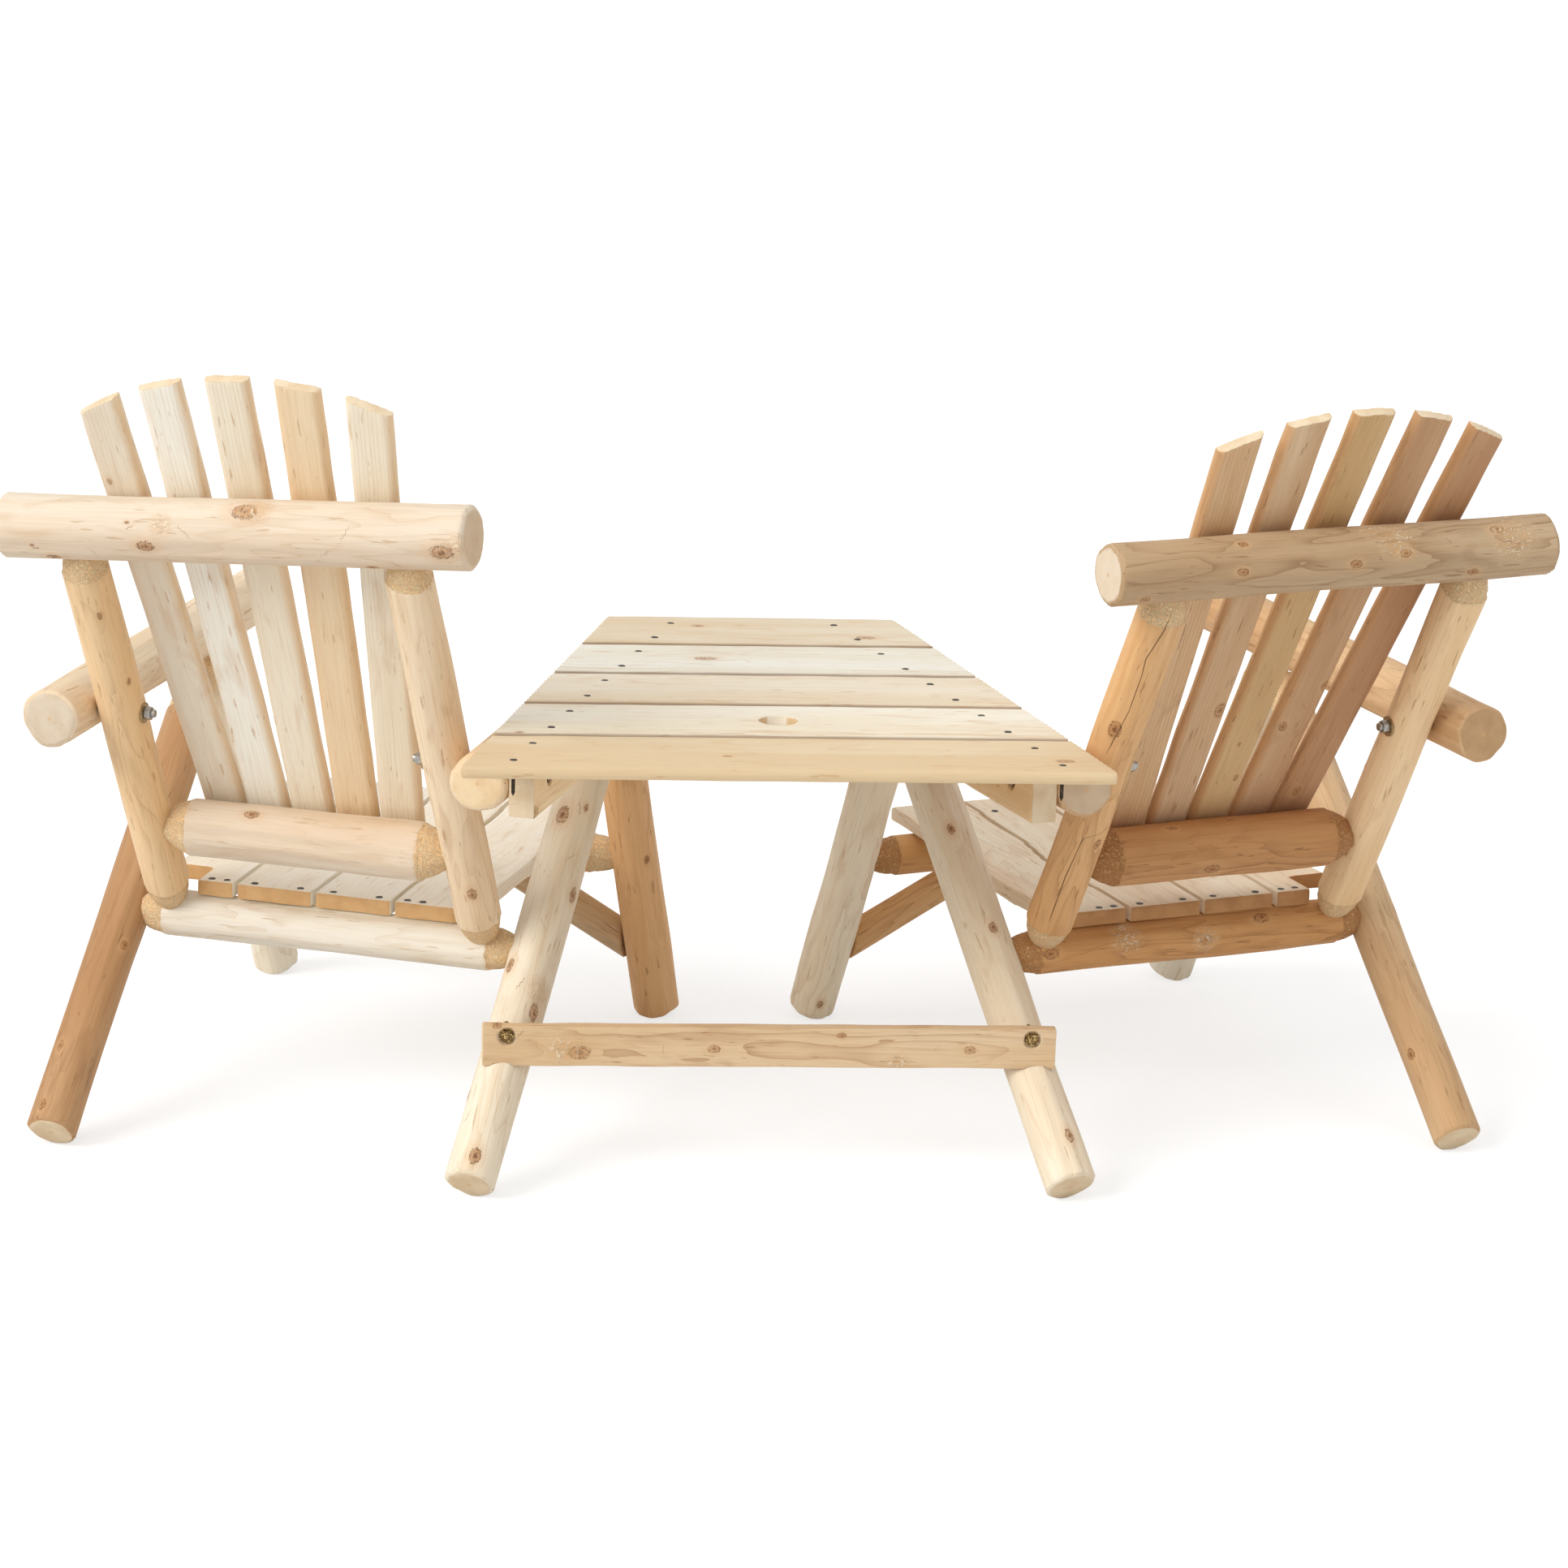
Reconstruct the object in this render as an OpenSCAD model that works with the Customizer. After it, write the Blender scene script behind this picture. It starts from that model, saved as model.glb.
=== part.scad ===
// Log tete-a-tete: two low log chairs turned toward each other, with a five-board
// table between them. Millimetres, +Z up, floor at z = 0, the seats face -Y.
// The origin is the middle of the footprint on the floor. Each chair is drawn in
// its own frame: x grows toward its outer side, y toward its back.

/* [Layout] */
// distance of each chair's centre line from the middle
chair_spread = 532.8; // [420:0.1:700]
// angle each chair is turned toward the middle
toe_in = 19.5; // [0:0.5:30]
// distance of the chairs' zero line behind the origin
chair_y = 87.4; // [0:0.1:200]

/* [Logs] */
// radius of the four legs of a chair
leg_r = 31; // [25:0.5:45]
// radius of the arms
arm_r = 35.5; // [28:0.5:50]
// radius of the two back posts
post_r = 29; // [25:0.5:40]
// radius of the top rail of the back
top_rail_r = 37.5; // [30:0.5:55]
// radius of the lower rail of the back
lower_rail_r = 36; // [28:0.5:50]
// radius of the rail under the back of the seat
rear_rail_r = 29; // [22:0.5:40]
// radius of the rail under the front of the seat
front_rail_r = 27; // [22:0.5:40]
// length of a rough cone between a log and its tenon
cone_len = 38; // [20:1:60]
// radius of the tenons
tenon_r = 15; // [10:0.5:20]
// how far a tenon goes past the centre of the log that holds it
tenon_past = 10; // [0:1:14]
// width of the chamfer on sawn log ends
end_chamfer = 4; // [1:0.5:8]
// gap left around tenons and between seated pieces
fit_gap = 0.3; // [0.2:0.05:0.6]

/* [Legs and arms] */
// distance of legs and arms from the chair's centre line
leg_x = 268; // [230:1:330]
// where the rear legs stand
rear_foot_y = 265.2; // [150:0.1:300]
// where the front legs stand, in front of the chair's zero line
front_foot_y = 534; // [450:1:650]
// angle of the front legs from upright
front_lean = 25.6; // [10:0.1:40]
// how deep the worn edge of each foot is cut off by the floor
foot_wear = 1.5; // [0.5:0.5:4]
// how much higher the outer arm lies than the inner one
arm_step = 25; // [0:1:40]
// rear end of the outer arm
outer_arm_back = 236; // [150:1:280]
// rear end of the inner arm
inner_arm_back = 233.5; // [150:0.5:280]
// front end of the arms
arm_front = 460; // [380:1:560]

/* [Back] */
// height of the rear rail's centre above the floor
rear_rail_z = 239.3; // [180:0.1:300]
// distance of the rear rail in front of the chair's zero line
rear_rail_y = 0.8; // [0:0.1:60]
// angle of the back from upright
back_lean = 29; // [10:0.5:40]
// distance up the back from the rear rail to the lower back rail
lower_rail_up = 157; // [120:1:220]
// distance up the back from the rear rail to the top rail
top_rail_up = 644; // [500:1:760]
// half the length of the top rail
top_rail_half = 292; // [240:0.5:340]
// angle of the left chair's top rail, inner end up
left_rail_tilt = 4.7; // [0:0.1:6]
// angle of the right chair's top rail, inner end up
right_rail_tilt = 0.2; // [0:0.1:6]
// how much further up the back the left chair's top rail lies
left_rail_rise = 9.5; // [-14:0.5:14]
// how much further up the back the right chair's top rail lies
right_rail_rise = -11.5; // [-14:0.5:14]
// width of a back slat
back_slat_w = 55; // [40:0.5:64]
// thickness of a back slat
back_slat_t = 14; // [10:0.5:20]
// width of the waney bevels along the rear edges of a back slat
back_slat_bevel = 8; // [2:0.5:14]
// spacing of the back slats at the lower rail
back_slat_pitch = 57; // [45:0.5:70]
// angle between one back slat and the next
fan_step = 2.3; // [0:0.1:4]
// how far the left chair's fan lies toward the outer side at the lower rail
left_fan_shift = 6; // [-15:0.5:15]
// how far the right chair's fan lies toward the outer side at the lower rail
right_fan_shift = -2; // [-15:0.5:15]
// sideways angle of the left chair's whole fan
left_fan_turn = -1.1; // [-3:0.1:3]
// sideways angle of the right chair's whole fan
right_fan_turn = 1.8; // [-3:0.1:3]
// distance of the lower ends of the back slats above the rear rail
back_slat_foot = 112; // [70:1:150]
// distance of the highest point of the left back above the rear rail
left_arch_up = 846; // [700:1:960]
// distance of the highest point of the right back above the rear rail
right_arch_up = 820; // [700:1:960]
// how far the middle of the left arch lies toward the outer side
left_arch_x = -40; // [-90:1:90]
// how far the middle of the right arch lies toward the outer side
right_arch_x = 10; // [-90:1:90]
// radius of the arch the slat tops follow
arch_r = 390; // [250:5:600]

/* [Seat] */
// height of the front rail's centre above the floor
front_rail_z = 247; // [200:1:320]
// thickness of a seat slat
seat_slat_t = 20.5; // [14:0.5:32]
// spacing of the seat slats
seat_slat_pitch = 103; // [80:1:120]
// gap between seat slats
seat_slat_gap = 6; // [3:0.5:12]
// how far the seat slats reach in front of the front rail
seat_overhang = 62; // [40:1:90]
// how far the seat slats reach behind the rear rail's centre
seat_tail = 14; // [8:1:45]
// how far the seat sinks between its rails
seat_dip = 4; // [0:0.5:10]
// sideways shift of the seat slats toward the outer side
seat_shift = 16; // [0:1:20]

/* [Knee braces] */
// radius of the half logs the braces are sawn from
brace_r = 27; // [20:0.5:36]
// angle of a brace from level, in the plane of the front legs
brace_angle = 37; // [25:1:60]
// height along the leg where a brace's centre line meets the leg's side
brace_foot = 122; // [80:1:180]
// distance of a brace's flat face in front of the leg plane
brace_set = 12; // [4:1:20]

/* [Table] */
// height of the table top
table_z = 566; // [480:1:700]
// thickness of the table boards
board_t = 15; // [12:0.5:28]
// width of a table board
board_w = 142; // [110:1:180]
// gap between table boards
board_gap = 4.5; // [2:0.5:10]
// distance of the table's rear edge behind the chairs' zero line
table_back = 416.9; // [300:0.1:480]
// how far the rear corners reach past the cleats' centre lines
table_back_over = 39.7; // [30:0.1:90]
// how far the front corners reach past the cleats' centre lines
table_front_over = 101; // [30:0.5:130]
// radius of the rounded long edges of the boards
board_round = 3; // [1:0.5:6]
// radius of the umbrella hole
hole_r = 22; // [18:0.5:30]
// distance of the umbrella hole from the table's rear edge
hole_back = 219.5; // [60:0.5:330]
// how far the outermost table screws stray from the cleats' centre lines
screw_stray = 11; // [0:0.5:14]
// thickness of a cleat
cleat_t = 34; // [20:1:50]
// height of a cleat
cleat_h = 73; // [40:1:90]
// rear end of the cleats in the chair's frame
cleat_back = 229; // [150:1:300]
// front end of the cleats in the chair's frame
cleat_front = 425; // [300:1:460]

/* [Stretcher] */
// height of the stretcher's centre line
stretcher_z = 167; // [100:1:240]
// height of the stretcher board
stretcher_h = 51; // [40:1:80]
// thickness of the stretcher board
stretcher_t = 19; // [14:0.5:30]
// how far the stretcher's bolts lie outside the legs' centre lines
stretcher_bolt_out = 10; // [0:0.5:16]
// height of the stretcher's bolts above its centre line
stretcher_bolt_up = 12; // [0:0.5:16]
// how far the stretcher reaches past its bolts
stretcher_over = 30; // [25:1:80]

/* [Fasteners] */
// radius of a wood screw's shank
screw_r = 2.2; // [1.5:0.1:3]
// radius of a wood screw's head
screw_head_r = 4.3; // [3:0.1:6]
// length of a wood screw
screw_len = 44; // [30:1:60]
// radius of the bolts that join arms and posts
bolt_r = 4.8; // [3:0.1:7]
// width across the flats of a bolt's nut
nut_flats = 14.3; // [10:0.1:20]
// radius of a washer
washer_r = 12.5; // [8:0.5:18]
// radius of a lag bolt's shank
lag_r = 4.5; // [3:0.1:7]
// radius of the round recess around a lag bolt's head
lag_recess_r = 10.5; // [8:0.5:14]

/* [Hidden] */
$fn = 96;
// along the leg, the plane of the front legs: slope and the rails that lie in it
front_rail_y = -front_foot_y + front_rail_z * tan(front_lean);
front_rail_up = front_rail_z / cos(front_lean);
// the rear legs pass through the rear rail's ends
rear_lean = atan((rear_foot_y + rear_rail_y) / rear_rail_z);
rear_rail_along = rear_rail_z / cos(rear_lean);
// arms
inner_arm_z = table_z - board_t - fit_gap - arm_r;
outer_arm_z = inner_arm_z + arm_step;
post_x = leg_x - arm_r - post_r - fit_gap;
// the end of a leg is cut square, so its axis ends above the floor
foot_lift_front = leg_r * tan(front_lean) - foot_wear / cos(front_lean);
foot_lift_rear = leg_r * tan(rear_lean) - foot_wear / cos(rear_lean);
// where the arms cross the posts
function post_at(z) = -rear_rail_y + (z - rear_rail_z) * tan(back_lean);
// rails at the ends of the posts
top_tenon_end = top_rail_up + tenon_past;
post_top = top_rail_up - top_rail_r - cone_len + 10;
post_foot = rear_rail_r + cone_len - 12;
// back slats lie on the fronts of both back rails
slat_low_y = lower_rail_r + fit_gap;
slat_tip_angle = atan((top_rail_r - lower_rail_r) / (top_rail_up - lower_rail_up));
// angle of each top rail, and how much further up the back it lies
left_rail = [left_rail_tilt, left_rail_rise];
right_rail = [right_rail_tilt, right_rail_rise];
// angle and sideways place of each fan of back slats
left_fan = [left_fan_turn, left_fan_shift];
right_fan = [right_fan_turn, right_fan_shift];
// seat
seat_n = 4;
seat_slat_w = seat_slat_pitch - seat_slat_gap;
seat_front_z = front_rail_z + front_rail_r + fit_gap;
seat_rear_z = rear_rail_z + rear_rail_r + fit_gap;
seat_front_y = front_rail_y - seat_overhang;
notch_x = post_x - post_r - 5;
notch_y = -rear_rail_y - post_r - 16;
// table
board_pitch = board_w + board_gap;
board_n = 5;
table_depth = board_n * board_pitch - board_gap;
cleat_x = leg_x + arm_r + fit_gap + cleat_t / 2;
table_rear_y = table_back + chair_y;
table_back_half = cleat_line(table_rear_y) + table_back_over;
table_front_half = cleat_line(table_rear_y - table_depth) + table_front_over;
table_slope = (table_back_half - table_front_half) / table_depth;
// the rear legs' axes meet the front legs' axes at this distance along the rear leg
leg_cross_z = (rear_foot_y + front_foot_y) / (tan(rear_lean) + tan(front_lean));
leg_cross_along = leg_cross_z / cos(rear_lean);
front_cross_up = leg_cross_z / cos(front_lean);
leg_lag_angle = 34;
// the stretcher's place on the inner rear legs
stretcher_leg_y = rear_foot_y - stretcher_z * tan(rear_lean);
stretcher_leg_x = chair_spread - leg_x * cos(toe_in) + stretcher_leg_y * sin(toe_in)
  + stretcher_bolt_out;
stretcher_rear_y = chair_y + leg_x * sin(toe_in) + stretcher_leg_y * cos(toe_in)
  + leg_r / cos(rear_lean) * 1.06 + stretcher_t;
stretcher_half = stretcher_leg_x + stretcher_over;
// where a brace's centre line meets the front rail's underside
brace_top_x = leg_x - leg_r - (front_rail_up - front_rail_r - brace_foot) / tan(brace_angle);
// fasteners
screw_head_h = 3;
screw_sink = 0.6;
nut_h = 8;
washer_t = 2;
bolt_head_h = 6;
bolt_head_r = 10.5;
bolt_tail = 5;
bolt_span = 2 * post_r + fit_gap + 2 * arm_r;
// the head of a bolt sinks into the arm's outer side
bolt_head_seat = bolt_span - bolt_head_h - 1;
lag_head_flats = 14;
lag_head_h = 6;
lag_len = 62;
far = 2000;

// Colours
module pale_wood() { color([0.90, 0.80, 0.64]) children(); }
module tan_wood() { color([0.83, 0.67, 0.46]) children(); }
module steel() { color([0.70, 0.71, 0.73]) children(); }
module bronze() { color([0.30, 0.24, 0.18]) children(); }

// Frames. The left chair is on the +X side, the right one is its mirror image.
module left_chair() {
  translate([chair_spread, chair_y, 0])
    rotate([0, 0, -toe_in])
      children();
}
module right_chair() {
  mirror([1, 0, 0])
    left_chair()
      children();
}
// what is placed from the origin, brought into the left chair's frame
module from_middle() {
  rotate([0, 0, toe_in])
    translate([-chair_spread, -chair_y, 0])
      children();
}
// x across the chair, z up along the front legs
module front_frame() {
  translate([0, -front_foot_y, 0])
    rotate([-front_lean, 0, 0])
      children();
}
// x across the chair, z up along the rear legs
module rear_frame() {
  translate([0, rear_foot_y, 0])
    rotate([rear_lean, 0, 0])
      children();
}
// x across the chair, z up along the back posts, from the rear rail's centre
module back_frame() {
  translate([0, -rear_rail_y, rear_rail_z])
    rotate([-back_lean, 0, 0])
      children();
}
// the same frame, with x and y in the back slats' rear faces
module slat_frame() {
  back_frame()
    translate([0, -slat_low_y, lower_rail_up])
      rotate([slat_tip_angle, 0, 0])
        translate([0, 0, -lower_rail_up])
          children();
}

// A log along +Z from z = low to z = high, with chamfered sawn ends.
module sawn_log(r, low, high) {
  translate([0, 0, low])
    rotate_extrude()
      polygon([
        [0, 0], [r - end_chamfer, 0], [r, end_chamfer],
        [r, high - low - end_chamfer], [r - end_chamfer, high - low], [0, high - low]
      ]);
}
// A log centred on the origin along +Z with a rough cone and a tenon at each end.
module tenon_log(r, body_half, tenon_half, cone = cone_len) {
  rotate_extrude()
    polygon([
      [0, -tenon_half], [tenon_r - 2, -tenon_half], [tenon_r, -tenon_half + 3],
      [tenon_r, -body_half - cone], [r - 3, -body_half - 2], [r, -body_half],
      [r, body_half], [r - 3, body_half + 2], [tenon_r, body_half + cone],
      [tenon_r, tenon_half - 3], [tenon_r - 2, tenon_half], [0, tenon_half]
    ]);
}
// Half of such an end, along +Z, up to a tenon whose tip is at z = tip.
module tenon_end(r, body_end, cone, tip) {
  rotate_extrude()
    polygon([
      [0, body_end - 1], [r, body_end - 1], [r, body_end], [r - 3, body_end + 2],
      [tenon_r, body_end + cone], [tenon_r, tip - 3], [tenon_r - 2, tip], [0, tip]
    ]);
}
// The bore for a tenon along +Z from z = from to z = to.
module mortise(from, to) {
  translate([0, 0, from])
    cylinder(r = tenon_r + fit_gap, h = to - from);
}
// A rail across the chair whose cones and tenons go into logs at x = +-at.
module cross_rail(r, at, holder_r) {
  rotate([0, 90, 0])
    tenon_log(r, at - holder_r - cone_len + 12, at + tenon_past);
}
module cross_mortise(side, at) {
  rotate([0, side * 90, 0])
    mortise(at - 60, at + tenon_past + 1);
}

// Screw pointing along -Z, its head's top at z = -screw_sink.
module screw(extra = 0) {
  translate([0, 0, -screw_sink])
    mirror([0, 0, 1])
      rotate_extrude($fn = 32)
        polygon([
          [0, -extra * 4], [screw_head_r + extra, -extra * 4], [screw_head_r + extra, 0.6],
          [screw_r + extra, screw_head_h], [screw_r + extra, screw_len - 5],
          [extra, screw_len + extra], [0, screw_len + extra]
        ]);
}
// Lag bolt pointing along -Z, its head resting at z = 0.
module lag(extra = 0) {
  rotate_extrude($fn = 48)
    polygon([
      [0, 1], [lag_r + extra, 1], [lag_r + extra, 8 - lag_len],
      [extra, -lag_len - extra], [0, -lag_len - extra]
    ]);
}
module lag_bolt() {
  union() {
    lag();
    cylinder(r = lag_head_flats / sqrt(3), h = lag_head_h, $fn = 6);
    cylinder(r = lag_recess_r - 0.8, h = 1.5);
  }
}
module lag_recess(depth) {
  lag(fit_gap);
  cylinder(r = lag_recess_r, h = depth);
}

// Spots of the fasteners, shared by the holes and the fasteners
// seat slats: two screws at each rail
module seat_screw_spots(i) {
  x = seat_slat_x(i);
  for (dx = [-1, 1]) {
    rear_x = i == 1 ? x - seat_slat_w / 2 + 22 + 10 * dx
           : i == seat_n ? x + seat_slat_w / 2 - 22 + 10 * dx
           : x + 30 * dx;
    translate([x + 30 * dx, front_rail_y, seat_front_z + seat_slat_t])
      children();
    translate([rear_x, -rear_rail_y, seat_rear_z + seat_slat_t])
      children();
  }
}
// back slats: one screw at each back rail
module back_screw_spots(i, lay, rail) {
  rails_apart = top_rail_up - lower_rail_up;
  slat_x = lay[1] + (i - 3) * back_slat_pitch + rails_apart * tan((i - 3) * fan_step + lay[0]);
  slat_frame()
    fan(i, lay)
      for (up = [0, rails_apart + rail_at(slat_x, rail)])
        translate([0, -back_slat_t, up])
          rotate([90, 0, 0])
            children();
}
// table boards: two screws in each end of a board, down into the cleat
module table_screw_spots(i) {
  for (k = [-1, 1]) {
    y = board_front(i) + board_w / 2 + k * board_w * 0.26;
    for (side = [-1, 1])
      translate([side * (cleat_line(y) + stray(y)), y, table_z])
        children();
  }
}
// cleats: three lag bolts from the table side into the arm
module cleat_lag_spots() {
  for (y = [-cleat_front + 60, (cleat_back - cleat_front) / 2, cleat_back - 60])
    translate([-cleat_x - cleat_t / 2 + lag_head_h + 2, y, inner_arm_z])
      rotate([0, -90, 0])
        children();
}
// stretcher: one lag bolt into each inner rear leg
module stretcher_lag_spots() {
  for (side = [-1, 1])
    translate([side * stretcher_leg_x, stretcher_rear_y - lag_head_h, stretcher_z + stretcher_bolt_up])
      rotate([-90, 0, 0])
        children();
}
// rear legs: one lag bolt through the cone into the front leg
module leg_lag_spot() {
  translate([0, leg_r - 13, leg_cross_along - 96])
    rotate([-90 + leg_lag_angle, 0, 0])
      children();
}
// arms: one bolt through arm and post, its nut on the inner face of the post
module arm_bolt_spot(z) {
  translate([post_x - post_r, post_at(z), z])
    rotate([0, 90, 0])
      children();
}

// Placing
function seat_slat_x(i) = seat_shift + (i - (seat_n + 1) / 2) * -seat_slat_pitch;
function board_front(i) = table_rear_y - (i - 1) * board_pitch - board_w;
function table_half(y) = table_front_half + (y - table_rear_y + table_depth) * table_slope;
// the cleats' centre lines, at depth y behind the origin
function cleat_line(y) =
  chair_spread - cleat_x * cos(toe_in) + (y - chair_y - cleat_x * sin(toe_in)) * tan(toe_in);
// the table's screws run between the lines of its cleats and of its ends
function stray(y) = screw_stray * (table_rear_y - table_depth / 2 - y) / (table_depth / 2);

// Back slat i of a fan, 1 at the inner side: turned about its place on the lower rail.
module fan(i, lay) {
  translate([lay[1] + (i - 3) * back_slat_pitch, 0, lower_rail_up])
    rotate([0, (i - 3) * fan_step + lay[0], 0])
      children();
}

// Chair parts, in the chair's frame
module front_leg(side) {
  arm_z = side > 0 ? outer_arm_z : inner_arm_z;
  arm_along = arm_z / cos(front_lean);
  // the cone ends just under the arm
  body_end = arm_along - arm_r / cos(front_lean) - cone_len + 4;
  difference() {
    front_frame()
      translate([side * leg_x, 0, 0])
        union() {
          sawn_foot(body_end, foot_lift_front);
          tenon_end(leg_r, body_end, cone_len, arm_along + tenon_past);
        }
    floor_cut();
    front_frame()
      translate([0, 0, front_rail_up])
        cross_mortise(side, leg_x);
    rear_frame()
      translate([side * leg_x, 0, 0])
        leg_lag_spot()
          lag(fit_gap);
  }
}
// Lower part of a leg: cut square to its axis, with a chamfer.
module sawn_foot(body_end, lift) {
  translate([0, 0, lift])
    rotate_extrude()
      polygon([
        [0, 0], [leg_r - end_chamfer, 0], [leg_r, end_chamfer],
        [leg_r, body_end - lift - 0.5], [0, body_end - lift - 0.5]
      ]);
}
module floor_cut() {
  translate([-far / 2, -far / 2, -100])
    cube([far, far, 100]);
}
module rear_leg(side) {
  arm_z = side > 0 ? outer_arm_z : inner_arm_z;
  body_end = leg_cross_along - 104;
  difference() {
    rear_frame()
      translate([side * leg_x, 0, 0])
        union() {
          sawn_foot(body_end, foot_lift_rear);
          rotate_extrude()
            polygon([
              [0, body_end - 1], [leg_r, body_end - 1], [leg_r, body_end], [leg_r - 3, body_end + 2],
              [tenon_r + 4, body_end + cone_len + 18], [tenon_r + 4, leg_cross_along], [0, leg_cross_along]
            ]);
        }
    floor_cut();
    // coped against the front leg
    front_frame()
      translate([side * leg_x, 0, 0])
        union() {
          cylinder(r = leg_r + fit_gap, h = 2 * front_cross_up);
          translate([-2 * leg_r, -4 * leg_r, front_cross_up / 2])
            cube([4 * leg_r, 4 * leg_r, front_cross_up]);
        }
    // and kept clear of the arm above
    translate([side * leg_x, 0, arm_z])
      rotate([90, 0, 0])
        cylinder(r = arm_r + fit_gap, h = far, center = true);
    rear_frame()
      translate([0, 0, rear_rail_along])
        cross_mortise(side, leg_x);
    rear_frame()
      translate([side * leg_x, 0, 0])
        leg_lag_spot()
          lag_recess(40);
    if (side < 0)
      from_middle()
        stretcher_lag_spots()
          lag(fit_gap);
  }
}
module arm(side) {
  z = side > 0 ? outer_arm_z : inner_arm_z;
  back = side > 0 ? outer_arm_back : inner_arm_back;
  difference() {
    translate([side * leg_x, back, z])
      rotate([90, 0, 0])
        sawn_log(arm_r, 0, back + arm_front);
    front_frame()
      translate([side * leg_x, 0, 0])
        mortise(z / cos(front_lean) - 90, z / cos(front_lean) + tenon_past + 1);
    if (side > 0) arm_bolt_cut(outer_arm_z);
    if (side < 0)
      mirror([1, 0, 0])
        arm_bolt_cut(inner_arm_z);
    if (side < 0)
      cleat_lag_spots()
        lag(fit_gap);
  }
}
// Bore for an arm bolt, with the flat seats of its head and its washer.
module arm_bolt_cut(z) {
  arm_bolt_spot(z) {
    translate([0, 0, -40])
      cylinder(r = bolt_r + fit_gap, h = 2 * bolt_span);
    translate([0, 0, bolt_head_seat])
      cylinder(r = bolt_head_r + 1.5, h = 60);
    translate([0, 0, -38])
      cylinder(r = washer_r + 1, h = 40);
  }
}
module post(side, rail) {
  lift = rail_at(side * post_x, rail);
  difference() {
    back_frame()
      translate([side * post_x, 0, 0])
        union() {
          rotate_extrude()
            polygon([
              [0, -tenon_past], [tenon_r - 2, -tenon_past], [tenon_r, -tenon_past + 3],
              [tenon_r, post_foot - cone_len], [post_r - 3, post_foot - 2], [post_r, post_foot],
              [post_r, post_top + lift],
              [post_r - 3, post_top + lift + 2],
              [tenon_r, post_top + lift + cone_len],
              [tenon_r, top_tenon_end + lift - 3],
              [tenon_r - 2, top_tenon_end + lift],
              [0, top_tenon_end + lift]
            ]);
        }
    back_frame()
      translate([0, 0, lower_rail_up])
        cross_mortise(side, post_x);
    if (side > 0) arm_bolt_cut(outer_arm_z);
    if (side < 0)
      mirror([1, 0, 0])
        arm_bolt_cut(inner_arm_z);
  }
}
// how much further up the back a top rail lies at a distance x from the centre line
function rail_at(x, rail) = rail[1] - x * tan(rail[0]);
module top_rail(rail, lay) {
  difference() {
    back_frame()
      translate([0, 0, top_rail_up + rail[1]])
        rotate([0, 90 + rail[0], 0])
          sawn_log(top_rail_r, -top_rail_half, top_rail_half);
    back_frame()
      for (side = [-1, 1])
        translate([side * post_x, 0, 0])
          mortise(top_rail_up - 80, top_tenon_end + rail_at(side * post_x, rail) + 1);
    for (i = [1 : 5])
      back_screw_spots(i, lay, rail)
        screw(fit_gap);
  }
}
module lower_back_rail(lay, rail) {
  difference() {
    back_frame()
      translate([0, 0, lower_rail_up])
        cross_rail(lower_rail_r, post_x, post_r);
    for (i = [1 : 5])
      back_screw_spots(i, lay, rail)
        screw(fit_gap);
  }
}
module rear_seat_rail() {
  difference() {
    rear_frame()
      translate([0, 0, rear_rail_along])
        cross_rail(rear_rail_r, leg_x, leg_r);
    back_frame()
      for (side = [-1, 1])
        translate([side * post_x, 0, 0])
          mortise(-tenon_past - 1, 80);
    for (i = [1 : seat_n])
      seat_screw_spots(i)
        screw(fit_gap);
  }
}
module front_seat_rail() {
  difference() {
    front_frame()
      translate([0, 0, front_rail_up])
        cross_rail(front_rail_r, leg_x, leg_r);
    for (i = [1 : seat_n])
      seat_screw_spots(i)
        screw(fit_gap);
    for (side = [-1, 1])
      brace_screw_spots(side)
        screw(fit_gap);
  }
}
// Half log from the front leg up to the underside of the front rail, round side to the rear.
module brace(side) {
  difference() {
    front_frame()
      intersection() {
        translate([side * (leg_x - leg_r), -brace_set, brace_foot])
          rotate([0, side * -(90 - brace_angle), 0])
            translate([0, 0, -3 * brace_r])
              cylinder(r = brace_r, h = 2 * leg_x);
        translate([side > 0 ? 0 : -leg_x + leg_r + fit_gap, -brace_set, 0])
          cube([leg_x - leg_r - fit_gap, 100, front_rail_up - front_rail_r - fit_gap]);
      }
    brace_screw_spots(side)
      screw(fit_gap);
  }
}
// one screw up through the brace into the rail, one into the leg
module brace_screw_spots(side) {
  front_frame()
    translate([side * (brace_top_x + 8), 3, front_rail_up - front_rail_r - 16])
      rotate([180, 0, 0])
        children();
}

module back_slat(i, lay, rail, arch_x, arch_up) {
  difference() {
    slat_frame()
      intersection() {
        fan(i, lay)
          translate([0, 0, back_slat_foot - lower_rail_up])
            linear_extrude(arch_up)
              back_slat_section();
        translate([arch_x, 0, arch_up - arch_r])
          rotate([90, 0, 0])
            union() {
              cylinder(r = arch_r, h = back_slat_t, $fn = 240);
              translate([-2 * arch_r, -arch_up, 0])
                cube([4 * arch_r, arch_up, back_slat_t]);
            }
      }
    back_screw_spots(i, lay, rail)
      screw(fit_gap);
  }
}
// Slab from the side of a small log: wide flat front, narrower rear with waney bevels.
module back_slat_section() {
  w = back_slat_w / 2;
  b = back_slat_bevel;
  polygon([
    [-w + 1, -back_slat_t], [w - 1, -back_slat_t], [w, 1 - back_slat_t], [w, -b * 0.9],
    [w - b * 0.3, -b * 0.4], [w - b, 0], [b - w, 0], [b * 0.3 - w, -b * 0.4],
    [-w, -b * 0.9], [-w, 1 - back_slat_t]
  ]);
}
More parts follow.
